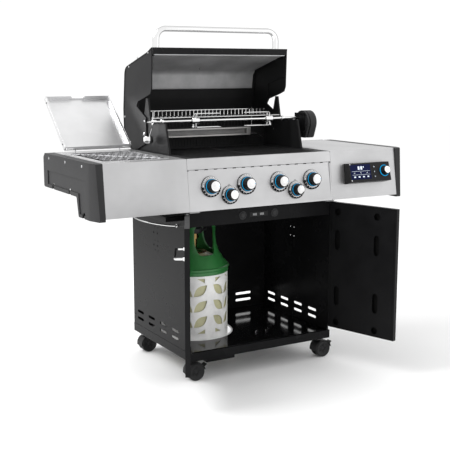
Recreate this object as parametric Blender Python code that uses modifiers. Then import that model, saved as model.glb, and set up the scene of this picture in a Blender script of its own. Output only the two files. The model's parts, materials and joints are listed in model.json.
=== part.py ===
"""Cabinet gas barbecue on casters, with a hinged lid, two side shelves, a side burner, a rear burner,
a rotisserie, a temperature controller and a gas cylinder in its cart.

Metres, +Z up, +X to the cook's right, the cook stands at -Y. Everything is laid out about the middle
of the cart at floor level, and the empty "barbecue" carries that layout to the row's origin.
"""
import math

import bmesh
import bpy
from mathutils import Matrix, Vector

# Layout: the open doors reach forward and the open lids reach back, so the cart is off the centre
CART_Y = 0.0849

# Fits
GAP = 0.0005          # between pieces that touch
SHEET = 0.0015        # sheet steel
CASTING = 0.008       # firebox wall

# Cart
CART_X = 0.3625       # half width over the side panels
CART_DEPTH = 0.277    # half depth
SKIRT_LOW = 0.097
SKIRT_TOP = 0.136
FLOOR_TOP = 0.1315
PANEL_TOP = 0.735
PANEL_THICK = 0.002
HEADER_LOW = 0.6715
REAR_TOP = 0.655
BACK_OF_PANELS = 0.243
SLOT_HEIGHT = 0.012
SLOT_ROWS = (0.170, 0.203)
SIDE_SLOTS = (-0.150, -0.033, 0.084, 0.202)
REAR_SLOTS = (-0.238, -0.079, 0.079, 0.238)

# Gas cylinder, standing through the hole in the floor
CYLINDER = Vector((-0.169, 0.035, 0.0758))
CYLINDER_R = 0.1525
CYLINDER_HEIGHT = 0.587
CYLINDER_HOLE_R = 0.170

# Doors
HINGE_X = 0.3565
HINGE_Y = -0.281
DOOR_WIDTH = 0.352
DOOR_THICK = 0.020
DOOR_LOW = 0.152
DOOR_TOP = 0.731
DOOR_OPEN = {-1: 117.7, 1: 107.0}
PIN_R = 0.003

# Control panel and shelves: the front face leans out towards its bottom edge
SHELF_TOP = 0.956
FASCIA_LOW = 0.7396
FASCIA_Y_TOP = -0.2656
FASCIA_Y_LOW = -0.2948
PANEL_X = 0.3605
SHELF_IN = 0.3615
SHELF_OUT = 0.7305
SHELF_REAR = 0.300
CAP_IN = 0.731
CAP_OUT = 0.775
LEAN = math.atan2(FASCIA_Y_TOP - FASCIA_Y_LOW, SHELF_TOP - FASCIA_LOW)

# Knobs: x, z, scale
KNOBS = {"knob_main_1": (-0.255, 0.838, 1.0), "knob_rear_burner": (-0.167, 0.798, 0.88),
         "knob_main_2": (-0.083, 0.838, 1.0), "knob_main_3": (0.083, 0.838, 1.0),
         "knob_side_burner": (0.167, 0.798, 0.88), "knob_main_4": (0.255, 0.838, 1.0)}
BEZEL_R = 0.043
BEZEL_HIGH = 0.006

# Firebox
FIREBOX_X = 0.3455
FLANGE_X = 0.3600
FLANGE_TOP = 0.955
FLANGE_REAR = 0.236
FLANGE_THICK = 0.008
FIREBOX_FRONT = -0.255
FIREBOX_REAR = 0.251
FIREBOX_LOW = 0.737
GRATE_LEDGE = 0.943

# Lid, laid out closed about its hinge
LID_HINGE = Vector((0, 0.158, 1.033))
LID_OPEN = 88.0
LID_END_IN = 0.3465
LID_END_OUT = 0.352
LID_SHELL_X = 0.346
LID_TOP_OUTLINE = ((0.087, 0.100), (0.089, 0.138), (0.018, 0.219), (-0.094, 0.2265),
                   (-0.286, 0.211), (-0.362, -0.036), (-0.381, -0.074))
HANDLE_R = 0.0125

# Side burner and its lid
SIDE_HINGE = Vector((0, 0.200, 0.9745))
SIDE_LID_OPEN = 138.7
SIDE_LID_X = (-0.712, -0.400)
SIDE_LID_DEPTH = 0.322
SIDE_LID_LOW = -0.012
SIDE_LID_TOP = 0.009
WELL = ((-0.702, -0.200), (-0.418, 0.168))

# Rotisserie
SPIT = Vector((0, 0.028, 1.092))
SPIT_R = 0.006

# Casters
CASTER_X = 0.3325
CASTER_Y = 0.236
TRAIL = 0.018
WHEEL_R = 0.038

# Controller on the right-hand fascia
CONTROL_X = (0.434, 0.666)
CONTROL_KNOB_X = 0.633
CONTROL_BUTTON_X = 0.5715
BUTTON_R = 0.0065

STEEL = ((0.62, 0.62, 0.63), 0.30, 1.0)
CHROME = ((0.85, 0.85, 0.86), 0.08, 1.0)
BLACK_STEEL = ((0.02, 0.02, 0.02), 0.35, 0.0)
CAST = ((0.012, 0.012, 0.012), 0.60, 0.0)
PLASTIC = ((0.05, 0.05, 0.052), 0.55, 0.0)
RUBBER = ((0.03, 0.03, 0.03), 0.70, 0.0)
SHROUD = ((0.85, 0.85, 0.84), 0.45, 0.0)


def new_collection(name):
    made = bpy.data.collections.new(name)
    bpy.context.scene.collection.children.link(made)
    return made


for old in list(bpy.data.objects):
    bpy.data.objects.remove(old, do_unlink=True)
PARTS = new_collection("gas_barbecue")
CUTTERS = new_collection("cutters")
BARBECUE = bpy.data.objects.new("barbecue", None)
PARTS.objects.link(BARBECUE)
BARBECUE.location = (0, CART_Y, 0)


# ---------------------------------------------------------------- tools

def pivot(name, place, turn=(0, 0, 0), parent=BARBECUE):
    """An empty on a joint's axis, turned from the laid-out pose to the rest pose."""
    made = bpy.data.objects.new(name, None)
    PARTS.objects.link(made)
    made.parent = parent
    made.location = place
    made.rotation_euler = [math.radians(angle) for angle in turn]
    return made


def piece(name, mesh, parent=BARBECUE):
    made = bpy.data.objects.new(name, mesh)
    PARTS.objects.link(made)
    made.parent = parent
    return made


def from_bmesh(name, bm, parent=BARBECUE):
    mesh = bpy.data.meshes.new(name)
    bm.to_mesh(mesh)
    bm.free()
    return piece(name, mesh, parent)


def paint(item, look):
    """Gives a piece its own Principled material."""
    colour, roughness, metallic = look
    material = bpy.data.materials.new(item.name)
    material.use_nodes = True
    shader = material.node_tree.nodes["Principled BSDF"]
    shader.inputs["Base Color"].default_value = (*colour, 1.0)
    shader.inputs["Roughness"].default_value = roughness
    shader.inputs["Metallic"].default_value = metallic
    item.data.materials.clear()
    item.data.materials.append(material)
    return item


def smooth(item):
    item.data.shade_smooth()
    item.data.set_sharp_from_angle(angle=math.radians(35))
    return item


def as_mesh(item):
    """The evaluated shape of a curve or a modified mesh as one plain mesh in its parent's frame."""
    bpy.context.view_layer.update()
    evaluated = item.evaluated_get(bpy.context.evaluated_depsgraph_get())
    mesh = bpy.data.meshes.new_from_object(evaluated)
    mesh.transform(item.matrix_local)
    bm = bmesh.new()
    bm.from_mesh(mesh)
    bmesh.ops.remove_doubles(bm, verts=bm.verts, dist=1e-6)
    bmesh.ops.recalc_face_normals(bm, faces=bm.faces)
    bm.to_mesh(mesh)
    bm.free()
    name, parent = item.name, item.parent
    bpy.data.objects.remove(item, do_unlink=True)
    return piece(name, mesh, parent)


def box(name, low, high, parent=BARBECUE):
    bm = bmesh.new()
    size = Vector(high) - Vector(low)
    middle = (Vector(high) + Vector(low)) / 2
    bmesh.ops.create_cube(bm, size=1, matrix=Matrix.Translation(middle) @ Matrix.Diagonal((*size, 1)))
    return from_bmesh(name, bm, parent)


def tapered_box(name, bottom, top, parent=BARBECUE):
    """A box between two level rectangles, each (x0, x1, y0, y1, z)."""
    bm = bmesh.new()
    bmesh.ops.create_cube(bm, size=1)
    for vertex in bm.verts:
        x0, x1, y0, y1, z = top if vertex.co.z > 0 else bottom
        vertex.co = (x1 if vertex.co.x > 0 else x0, y1 if vertex.co.y > 0 else y0, z)
    return from_bmesh(name, bm, parent)


def rod(name, start, end, radius, sides=16, end_radius=None, parent=BARBECUE):
    """A cylinder or a cone from one point to another."""
    along = Vector(end) - Vector(start)
    turn = along.to_track_quat("Z", "Y").to_matrix().to_4x4()
    place = Matrix.Translation((Vector(start) + Vector(end)) / 2) @ turn
    bm = bmesh.new()
    bmesh.ops.create_cone(bm, cap_ends=True, segments=sides, radius1=radius, depth=along.length,
                          radius2=radius if end_radius is None else end_radius, matrix=place)
    return from_bmesh(name, bm, parent)


def turned(name, profile, steps, parent=BARBECUE):
    """A profile of (radius, z), listed down its outer side, turned about Z."""
    bm = bmesh.new()
    points = [bm.verts.new((radius, 0, z)) for radius, z in profile]
    for first, second in zip(points, points[1:]):
        bm.edges.new((first, second))
    if profile[0][0] > 0:
        bm.edges.new((points[-1], points[0]))
    item = from_bmesh(name, bm, parent)
    screw = item.modifiers.new("Turn", "SCREW")
    screw.steps = screw.render_steps = steps
    screw.use_merge_vertices = True
    screw.merge_threshold = 0.00001
    return as_mesh(item)


PLANES = {"XY": (0, 0, 0), "XZ": (90, 0, 0), "YZ": (90, 0, 90)}


def plate(name, outline, thickness, plane, middle, holes=(), parent=BARBECUE):
    """A flat outline with holes, extruded about its middle plane, which lies at middle."""
    curve = bpy.data.curves.new(name, "CURVE")
    curve.dimensions = "2D"
    curve.fill_mode = "BOTH"
    curve.extrude = thickness / 2
    for loop in (outline, *holes):
        spline = curve.splines.new("POLY")
        spline.points.add(len(loop) - 1)
        spline.use_cyclic_u = True
        for point, (across, up) in zip(spline.points, loop):
            point.co = (across, up, 0, 1)
    item = bpy.data.objects.new(name, curve)
    PARTS.objects.link(item)
    item.parent = parent
    item.rotation_euler = [math.radians(angle) for angle in PLANES[plane]]
    item.location["YZ XZ XY".split().index(plane)] = middle
    return as_mesh(item)


def wire(name, points, radius, resolution=1, cyclic=False, parent=BARBECUE):
    curve = bpy.data.curves.new(name, "CURVE")
    curve.dimensions = "3D"
    curve.bevel_depth = radius
    curve.bevel_resolution = resolution
    curve.use_fill_caps = not cyclic
    spline = curve.splines.new("POLY")
    spline.points.add(len(points) - 1)
    spline.use_cyclic_u = cyclic
    for point, place in zip(spline.points, points):
        point.co = (*place, 1)
    item = bpy.data.objects.new(name, curve)
    PARTS.objects.link(item)
    item.parent = parent
    return as_mesh(item)


def bent_sheet(name, profile, span, thickness=SHEET, parent=BARBECUE):
    """Sheet metal with a (y, z) profile, drawn along X. The profile runs with the outside on its right."""
    bm = bmesh.new()
    left, right = ([bm.verts.new((x, y, z)) for y, z in profile] for x in span)
    for i in range(len(profile) - 1):
        bm.faces.new((left[i], left[i + 1], right[i + 1], right[i]))
    item = from_bmesh(name, bm, parent)
    solid = item.modifiers.new("Thickness", "SOLIDIFY")
    solid.thickness = thickness
    solid.offset = -1
    solid.use_even_offset = True
    return as_mesh(item)


def joined(name, pieces):
    """Several separate cutters as one."""
    bm = bmesh.new()
    parent = pieces[0].parent
    for item in pieces:
        bm.from_mesh(item.data)
        bpy.data.objects.remove(item, do_unlink=True)
    return from_bmesh(name, bm, parent)


def combine(target, operation, tools):
    for tool in tools:
        PARTS.objects.unlink(tool)
        CUTTERS.objects.link(tool)
        tool.name = f"{target.name}_{operation.lower()}"
        tool.hide_render = True
        tool.display_type = "WIRE"
        change = target.modifiers.new(operation.title(), "BOOLEAN")
        change.operation = operation
        change.object = tool
        change.solver = "EXACT"
    return target


def cut(target, *tools):
    return combine(target, "DIFFERENCE", tools)


def fuse(target, *tools):
    return combine(target, "UNION", tools)


def arc(centre, radius, start, end, steps):
    """Points on an arc in a plane, from one angle to another in degrees."""
    angles = [math.radians(start + (end - start) * i / steps) for i in range(steps + 1)]
    return [(centre[0] + radius * math.cos(a), centre[1] + radius * math.sin(a)) for a in angles]


def filleted(points, radius, steps=4):
    """The same line with each inner corner rounded."""
    made = [tuple(points[0])]
    for before, corner, after in zip(points, points[1:], points[2:]):
        before, corner, after = Vector(before), Vector(corner), Vector(after)
        back, ahead = (before - corner).normalized(), (after - corner).normalized()
        half = back.angle(ahead) / 2
        reach = min(radius / math.tan(half), (before - corner).length / 2.1, (after - corner).length / 2.1)
        start, end = corner + back * reach, corner + ahead * reach
        for i in range(steps + 1):
            t = i / steps
            made.append(tuple(start * (1 - t) ** 2 + corner * (2 * t * (1 - t)) + end * t ** 2))
    return made + [tuple(points[-1])]


def slot(across, up, length, height, steps=3):
    """A level slot with round ends."""
    radius = height / 2
    reach = length / 2 - radius
    return (arc((across + reach, up), radius, -90, 90, steps)
            + arc((across - reach, up), radius, 90, 270, steps))


def upright_slot(across, up, length, width, steps=3):
    return [(across + v, up + h) for h, v in slot(0, 0, length, width, steps)]


def rectangle(low, high):
    return [(low[0], low[1]), (high[0], low[1]), (high[0], high[1]), (low[0], high[1])]


def hole(across, up, radius, sides=10):
    return arc((across, up), radius, 0, 360 * (sides - 1) / sides, sides - 1)


def fascia_y(z):
    """The front face's y at a height."""
    return FASCIA_Y_TOP + (z - SHELF_TOP) * (FASCIA_Y_TOP - FASCIA_Y_LOW) / (SHELF_TOP - FASCIA_LOW)


# ---------------------------------------------------------------- cart

def cart_side_panel(side, name):
    outline = [(-CART_DEPTH, SKIRT_TOP + GAP), (CART_DEPTH, SKIRT_TOP + GAP), (CART_DEPTH, PANEL_TOP),
               (BACK_OF_PANELS, PANEL_TOP), (BACK_OF_PANELS, 0.930), (-BACK_OF_PANELS, 0.930),
               (-BACK_OF_PANELS, PANEL_TOP), (-CART_DEPTH, PANEL_TOP)]
    holes = [slot(y, z, 0.066, SLOT_HEIGHT) for y in SIDE_SLOTS for z in SLOT_ROWS]
    holes += [hole(y, z, 0.003, 6) for y in (0.008, 0.038) for z in (0.527, 0.570, 0.630)]
    middle = side * (CART_X - PANEL_THICK / 2)
    return paint(plate(name, outline, PANEL_THICK, "YZ", middle, holes), BLACK_STEEL)


def cart_rear_panel():
    reach = CART_X - PANEL_THICK - GAP
    holes = [slot(x, z, 0.089, SLOT_HEIGHT) for x in REAR_SLOTS for z in SLOT_ROWS]
    outline = rectangle((-reach, SKIRT_TOP + GAP), (reach, REAR_TOP))
    item = plate("cart_rear_panel", outline, SHEET, "XZ", CART_DEPTH - SHEET, holes)
    return paint(item, BLACK_STEEL)


def caster_places():
    return [(side * CASTER_X, end * CASTER_Y) for side in (-1, 1) for end in (-1, 1)]


def cart_floor():
    wall = 0.002
    x, y = CART_X - wall, CART_DEPTH - wall
    item = box("cart_floor", (-CART_X, -CART_DEPTH, SKIRT_LOW), (CART_X, CART_DEPTH, SKIRT_TOP))
    recess = box("recess", (-x, -y, FLOOR_TOP), (x, y, SKIRT_TOP + wall))
    below = box("below", (-x, -y, SKIRT_LOW - wall), (x, y, FLOOR_TOP - SHEET))
    cut(item, joined("hollows", [recess, below]))
    bosses = [rod("boss", (px, py, SKIRT_LOW + 0.001), (px, py, FLOOR_TOP - SHEET / 2), 0.012, 12)
              for px, py in caster_places()]
    lugs = [box("lug", (side * HINGE_X - 0.006, HINGE_Y - 0.007, SKIRT_TOP - 0.006),
                (side * HINGE_X + 0.006, 0.001 - CART_DEPTH, SKIRT_TOP)) for side in (-1, 1)]
    fuse(item, joined("bosses", bosses + lugs))
    bores = [rod("bore", (px, py, SKIRT_LOW - wall), (px, py, FLOOR_TOP - SHEET - 0.002), 0.0055, 12)
             for px, py in caster_places()]
    bores += [rod("bore", (side * HINGE_X, HINGE_Y, 0.128), (side * HINGE_X, HINGE_Y, 0.138), PIN_R + GAP, 10)
              for side in (-1, 1)]
    centre = (CYLINDER.x, CYLINDER.y)
    bores.append(rod("bore", (*centre, SKIRT_LOW), (*centre, SKIRT_TOP + wall), CYLINDER_HOLE_R, 40))
    return paint(cut(item, joined("bores", bores)), BLACK_STEEL)


def cart_header():
    reach = CART_X - PANEL_THICK - GAP
    front, back = -CART_DEPTH + GAP, -0.257
    profile = [(back, PANEL_TOP), (front, PANEL_TOP), (front, HEADER_LOW), (back, HEADER_LOW)]
    item = bent_sheet("cart_header", profile, (-reach, reach))
    low, top = PANEL_TOP - 0.0025, PANEL_TOP + 0.0025
    lugs = []
    for side in (-1, 1):
        across = sorted((side * (HINGE_X - 0.010), side * (HINGE_X + 0.007)))
        inside = sorted((side * (HINGE_X - 0.010), side * reach))
        lugs.append(fuse(box("lug", (across[0], HINGE_Y - 0.007, low), (across[1], -CART_DEPTH - GAP, top)),
                         box("arm", (inside[0], -CART_DEPTH - 0.002, low), (inside[1], back - 0.004, top))))
    fuse(item, joined("lugs", [as_mesh(lug) for lug in lugs]))
    bores = [rod("bore", (side * HINGE_X, HINGE_Y, low - 0.01), (side * HINGE_X, HINGE_Y, top + 0.01),
                 PIN_R + GAP, 10) for side in (-1, 1)]
    return paint(cut(item, joined("bores", bores)), BLACK_STEEL)


def cylinder_tray():
    """A strap hung from the floor pan, front to back, that carries the gas cylinder."""
    low, top, thick = 0.073, FLOOR_TOP - SHEET - GAP, 0.002
    front, rear = -0.256, 0.232
    outline = [(front, top), (front, low), (rear, low), (rear, top), (rear - thick, top),
               (rear - thick, low + thick), (front + thick, low + thick), (front + thick, top)]
    return paint(plate("cylinder_tray", outline, 0.140, "YZ", -0.195), BLACK_STEEL)


def gas_cylinder():
    """The bottle with its white shroud and its collar, open at the valve, on a wall that weighs its share."""
    r, top = CYLINDER_R, CYLINDER_HEIGHT
    outer = [(0.088, top), (0.094, top - 0.012), (0.096, 0.500), (0.112, 0.440), (0.145, 0.392),
             (r + 0.003, 0.362), (r + 0.003, 0.340), (r, 0.337), (r, 0.012), (r - 0.012, 0)]
    inner = [(0.030, 0), (0.030, 0.018), (r - 0.030, 0.018), (r - 0.018, 0.030), (r - 0.018, 0.345),
             (0.112, 0.400), (0.080, 0.440), (0.080, top)]
    item = turned("gas_cylinder", outer + inner, 36)
    windows = [rod("window", (0, 0, 0.505), (0.2 * math.cos(a), 0.2 * math.sin(a), 0.505), 0.040, 12)
               for a in (math.radians(65), math.radians(185), math.radians(305))]
    cut(item, *windows)
    item = as_mesh(item)
    item.location = CYLINDER
    return paint(smooth(item), SHROUD)


# ---------------------------------------------------------------- doors

def door(side, name):
    hinge = pivot(f"{name}_hinge", (side * HINGE_X, HINGE_Y, 0), (0, 0, side * DOOR_OPEN[side]))
    wall = 0.0012
    ends = sorted((0, -side * DOOR_WIDTH))
    item = box(name, (ends[0], -DOOR_THICK, DOOR_LOW), (ends[1], 0, DOOR_TOP), hinge)
    pins = [rod("pin", (0, 0, low), (0, 0, high), PIN_R, 10, parent=hinge)
            for low, high in ((0.1315, DOOR_LOW + 0.010), (DOOR_TOP - 0.010, PANEL_TOP + 0.002))]
    fuse(item, *pins)
    inside = box("inside", (ends[0] + wall, wall - DOOR_THICK, DOOR_LOW + wall),
                 (ends[1] - wall, -wall, DOOR_TOP - wall), hinge)
    cut(item, inside)
    shapes = []
    for across in (0.045, 0.253):
        u = -side * across
        shapes += [upright_slot(u, z, 0.092, 0.028) for z in (0.561, 0.303)]
        shapes += [hole(u, z, 0.0165, 12) for z in (0.688, 0.180)]
    openings = [plate("opening", shape, 0.006, "XZ", 0, parent=hinge) for shape in shapes]
    cut(item, joined("openings", openings))
    paint(item, BLACK_STEEL)

    face, out, z = -DOOR_THICK - GAP, -DOOR_THICK - 0.038, 0.600
    ends = [-side * u for u in (0.078, 0.278)]
    path = [(ends[0], face, z), (ends[0], out, z), (ends[1], out, z), (ends[1], face, z)]
    handle = wire(f"{name}_handle", filleted(path, 0.010, 3), 0.005, 2, parent=hinge)
    paint(smooth(handle), CHROME)


# ---------------------------------------------------------------- firebox and what is in it

def wing_outline():
    return [(-0.080, 0.930), (-0.075, 0.960), (-0.040, 1.087), (0.100, 1.087), (0.110, 1.100),
            (0.130, 1.190), (0.148, 1.190), (0.185, 1.060), (FIREBOX_REAR, 1.050), (FIREBOX_REAR, 0.930)]


def firebox():
    low = (-0.270, 0.270, -0.160, 0.170, FIREBOX_LOW)
    top = (-FIREBOX_X, FIREBOX_X, -0.244, FIREBOX_REAR, FLANGE_TOP - GAP)
    item = tapered_box("firebox", low, top)
    flange = box("flange", (-FLANGE_X, FIREBOX_FRONT, FLANGE_TOP - FLANGE_THICK),
                 (FLANGE_X, FLANGE_REAR, FLANGE_TOP))
    fuse(item, flange)
    wings = [plate("wing", wing_outline(), CASTING, "YZ", side * (FIREBOX_X - CASTING / 2))
             for side in (-1, 1)]
    back = box("back", (-FIREBOX_X + 0.002, FIREBOX_REAR - CASTING, 0.93),
               (FIREBOX_X - 0.002, FIREBOX_REAR, 1.050))
    fuse(item, *wings, back)
    rails = []
    for side in (-1, 1):
        web = sorted((side * 0.2055, side * 0.2085))
        foot = sorted((side * 0.193, side * 0.2085))
        rail = box("rail", (web[0], -0.158, 0.686), (web[1], 0.168, FIREBOX_LOW + 0.004))
        fuse(rail, box("foot", (foot[0], -0.158, 0.686), (foot[1], 0.168, 0.688)))
        rails.append(as_mesh(rail))
    fuse(item, *rails)
    throat = tapered_box("throat", (-0.262, 0.262, -0.152, 0.162, FIREBOX_LOW + CASTING),
                         (-0.329, 0.329, -0.230, 0.236, 0.930))
    ledge = box("ledge", (-0.310, -0.220, 0.925), (0.310, 0.214, GRATE_LEDGE + 0.001))
    mouth = box("mouth", (-0.3220, -0.232, GRATE_LEDGE - 0.001), (0.3220, 0.228, FLANGE_TOP + 0.002))
    drain = box("drain", (-0.150, -0.100, FIREBOX_LOW - 0.01), (0.150, 0.100, FIREBOX_LOW + 0.02))
    cut(item, throat, ledge, mouth, drain)
    bores = [rod("bore", (x, -0.30, 0.835), (x, -0.150, 0.835), 0.0155, 12)
             for x in (-0.225, -0.075, 0.075, 0.225)]
    for side in (-1, 1):
        pin = Vector((side * FIREBOX_X, LID_HINGE.y, LID_HINGE.z))
        bores.append(rod("bore", pin - Vector((0.02, 0, 0)), pin + Vector((0.02, 0, 0)), 0.0055, 12))
        seat = Vector((side * FIREBOX_X, SPIT.y, SPIT.z))
        bores.append(rod("bore", seat - Vector((0.02, 0, 0)), seat + Vector((0.02, 0, 0)), 0.009, 12))
    return paint(cut(item, joined("bores", bores)), CAST)


def main_burners():
    """Four tube burners and the channel that carries the flame across them."""
    z, places = 0.835, (-0.225, -0.075, 0.075, 0.225)
    item = box("main_burners", (-0.225, 0.140, z - 0.006), (0.225, 0.152, z + 0.006))
    fuse(item, joined("tubes", [rod("tube", (x, -0.218, z), (x, 0.160, z), 0.014, 12) for x in places]))
    bores = [rod("bore", (x, -0.220, z), (x, 0.158, z), 0.0125, 12) for x in places]
    return paint(cut(item, joined("bores", bores)), STEEL)


def heat_plates():
    """Folded covers over the burners, joined along their edges."""
    turn = pivot("heat_plate_turn", (0, 0, 0), (0, 0, 90))
    profile = [(0.262, 0.872)]
    for x in (0.225, 0.075, -0.075, -0.225):
        profile += [(x + 0.036, 0.872), (x, 0.896), (x - 0.036, 0.872)]
    profile.append((-0.262, 0.872))
    item = bent_sheet("heat_plates", profile, (-0.180, 0.180), parent=turn)
    gaps = [box("gap", (-0.150, x - 0.028, 0.860), (0.150, x + 0.028, 0.885), turn) for x in (-0.15, 0, 0.15)]
    return paint(cut(item, joined("gaps", gaps)), STEEL)


def cooking_grate(name, side):
    ends = sorted((side * 0.0015, side * 0.3175))
    bars, rim, front, back = 13, 0.010, -0.228, 0.224
    pitch = (ends[1] - ends[0] - 2 * rim) / bars
    holes = [rectangle((ends[0] + rim + pitch * i + 0.004, front + 0.012),
                       (ends[0] + rim + pitch * (i + 1) - 0.004, back - 0.012)) for i in range(bars)]
    outline = rectangle((ends[0], front), (ends[1], back))
    item = plate(name, outline, 0.010, "XY", GRATE_LEDGE + GAP + 0.005, holes)
    return paint(item, CAST)


def rear_burner():
    item = box("rear_burner", (-0.225, 0.206, 1.006), (0.236, FIREBOX_REAR - CASTING - GAP, 1.044))
    face = box("face", (-0.215, 0.200, 1.013), (0.215, 0.2405, 1.037))
    return paint(cut(item, face), STEEL)


def warming_rack():
    """A level rack with its rear edge turned up, hung between the wings."""
    z, front, back, reach = 1.100, 0.108, 0.200, FIREBOX_X - CASTING - GAP
    profile = [(back, z + 0.032), (back, z), (front, z)]
    profile = [(y, height) for y, height in reversed(profile)]
    item = bent_sheet("warming_rack", profile, (-reach, reach), 0.003)
    count = 16
    pitch = 0.600 / count
    gaps = [box("gap", (-0.300 + pitch * i + 0.002, front + 0.005, z - 0.01),
                (-0.300 + pitch * (i + 1) - 0.002, back + 0.01, z + 0.024)) for i in range(count)]
    return paint(cut(item, joined("gaps", gaps)), CHROME)


# ---------------------------------------------------------------- fascia, shelves, controls

def out_of_fascia(x, z, distance):
    """A point at a distance square out of the leaning front face."""
    return Vector((x, fascia_y(z) - distance * math.cos(LEAN), z + distance * math.sin(LEAN)))


def control_panel():
    profile = [(-0.2585, SHELF_TOP), (FASCIA_Y_TOP, SHELF_TOP), (fascia_y(0.911), 0.911), (-0.2645, 0.911),
               (-0.2685, 0.903), (-0.2925, 0.748), (FASCIA_Y_LOW, FASCIA_LOW), (-0.270, FASCIA_LOW)]
    item = bent_sheet("control_panel", profile, (-PANEL_X, PANEL_X))
    bezels, bores = [], []
    for x, z, scale in KNOBS.values():
        bezels.append(rod("bezel", out_of_fascia(x, z, -0.005), out_of_fascia(x, z, BEZEL_HIGH),
                          BEZEL_R * scale, 24))
        bores.append(rod("bore", out_of_fascia(x, z, -0.03), out_of_fascia(x, z, 0.02), 0.006, 10))
    fuse(item, *bezels)
    return paint(cut(item, joined("bores", bores)), STEEL)


def gas_manifold():
    """The gas rail behind the panel, with a valve and a spindle for each knob."""
    item = rod("gas_manifold", (-0.300, -0.236, 0.812), (0.300, -0.236, 0.812), 0.009, 12)
    for x, z, scale in KNOBS.values():
        valve = rod("valve", (x, -0.238, 0.812), out_of_fascia(x, z, -0.012), 0.008, 10)
        spindle = rod("spindle", out_of_fascia(x, z, -0.018), out_of_fascia(x, z, 0.024), 0.004, 8)
        fuse(item, valve, spindle)
    return paint(item, STEEL)


def shelf(name, side):
    profile = [(SHELF_REAR, 0.925), (SHELF_REAR, SHELF_TOP), (FASCIA_Y_TOP, SHELF_TOP),
               (FASCIA_Y_LOW, FASCIA_LOW), (-0.262, FASCIA_LOW)]
    item = bent_sheet(name, profile, sorted((side * SHELF_IN, side * SHELF_OUT)))
    if side < 0:
        cut(item, box("well", (*WELL[0], 0.90), (*WELL[1], 1.0)))
    return paint(item, STEEL)


def end_cap(name, side):
    """A hollow moulded cap with a deep front, a shallow back and a slanted front corner."""
    def solid(label, inset, across):
        outline = [(-0.296 + inset, 0.728 + inset), (-0.112 - inset, 0.728 + inset),
                   (-0.092 - inset, 0.808 + inset), (0.302 - inset, 0.808 + inset),
                   (0.302 - inset, SHELF_TOP + 0.001 - inset), (-0.270 + inset, SHELF_TOP + 0.001 - inset)]
        return plate(label, outline, abs(across[1] - across[0]), "YZ", side * sum(across) / 2)

    item = solid(name, 0, (CAP_IN, CAP_OUT))
    cut(item, solid("hollow", 0.0035, (CAP_IN - 0.01, CAP_OUT - 0.0035)))
    corner = box("corner", (-0.1, -0.06, 0.70), (0.1, 0, 1.0))
    corner.matrix_local = (Matrix.Translation((side * (CAP_OUT - 0.036), -0.288, 0))
                           @ Matrix.Rotation(side * math.radians(64), 4, "Z"))
    corner = as_mesh(corner)
    cut(item, corner)
    inner_side = box("lining", (-0.1, 0.0, 0.731), (0.1, 0.0035, SHELF_TOP - 0.002))
    inner_side.matrix_local = (Matrix.Translation((side * (CAP_OUT - 0.036), -0.288, 0))
                               @ Matrix.Rotation(side * math.radians(64), 4, "Z"))
    inner_side = as_mesh(inner_side)
    bounds = solid("bounds", 0.0002, (CAP_IN, CAP_OUT - 0.0002))
    lining = as_mesh(combine(inner_side, "INTERSECT", [bounds]))
    return paint(fuse(item, lining), PLASTIC)


def control_frame():
    """A frame square to the controller's face: x across, z out, y up the face."""
    lean = LEAN + math.atan2(0.014, 0.089)
    return pivot("controller_face", (0, -0.3198, 0.8585), (90 - math.degrees(lean), 0, 0))


def controller(face):
    x0, x1 = CONTROL_X
    low, top = 0.804, 0.896
    back = [(fascia_y(z) - GAP, z) for z in (low, top)]
    item = plate("controller_housing", [back[0], (fascia_y(low) - 0.047, low + 0.012),
                                        (fascia_y(top) - 0.034, top + 0.003), back[1]],
                 x1 - x0, "YZ", (x0 + x1) / 2)
    bores = [rod("bore", (CONTROL_BUTTON_X, up, -0.012), (CONTROL_BUTTON_X, up, 0.02), BUTTON_R + GAP, 12,
                 parent=face) for up in (-0.0225, 0, 0.0225)]
    bores.append(rod("bore", (CONTROL_KNOB_X, 0.002, -0.016), (CONTROL_KNOB_X, 0.002, 0.02), 0.0045, 10,
                     parent=face))
    hollow = box("hollow", (x0 + 0.004, -0.030, -0.040), (x1 - 0.004, 0.030, -0.014), face)
    return item, bores, hollow


def place_in(face, item):
    """Moves a mesh laid out on the controller's face into the barbecue's frame."""
    bpy.context.view_layer.update()
    item.data.transform(face.matrix_local)
    item.parent = BARBECUE
    return item


def controls():
    face = control_frame()
    item, bores, hollow = controller(face)
    cut(item, place_in(face, joined("bores", bores)))
    cut(item, place_in(face, hollow))
    paint(item, PLASTIC)

    for number, up in enumerate((0.0225, 0, -0.0225), 1):
        name = f"controller_button_{number}"
        profile = [(0, 0.002), (0.0058, 0.002), (BUTTON_R, 0.001), (BUTTON_R, -0.006), (0, -0.006)]
        slide = pivot(f"{name}_slide", (CONTROL_BUTTON_X, up, 0.0), parent=face)
        button = turned(name, profile, 12, slide)
        paint(smooth(button), PLASTIC)
    knob = turned("controller_knob", [(0, 0.026), (0.0148, 0.026), (0.0172, 0.0235), (0.0222, 0.006),
                                      (0.0228, 0.001), (0.004, 0.001), (0.004, -0.012), (0, -0.012)],
                  24, pivot("controller_knob_turn", (CONTROL_KNOB_X, 0.002, 0), parent=face))
    paint(smooth(knob), PLASTIC)


def knobs():
    for name, (x, z, scale) in KNOBS.items():
        base = out_of_fascia(x, z, BEZEL_HIGH + 0.001)
        turn = pivot(f"{name}_turn", base, (90 - math.degrees(LEAN), 0, 0))
        profile = [(0, 0.036), (0.0190 * scale, 0.036), (0.0205 * scale, 0.0345), (0.0250 * scale, 0.010),
                   (0.0290 * scale, 0.006), (0.0290 * scale, 0), (0.0045, 0), (0.0045, 0.020), (0, 0.020)]
        paint(smooth(turned(name, profile, 24, turn)), PLASTIC)


# ---------------------------------------------------------------- side burner, tool rail, grease tray

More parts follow.
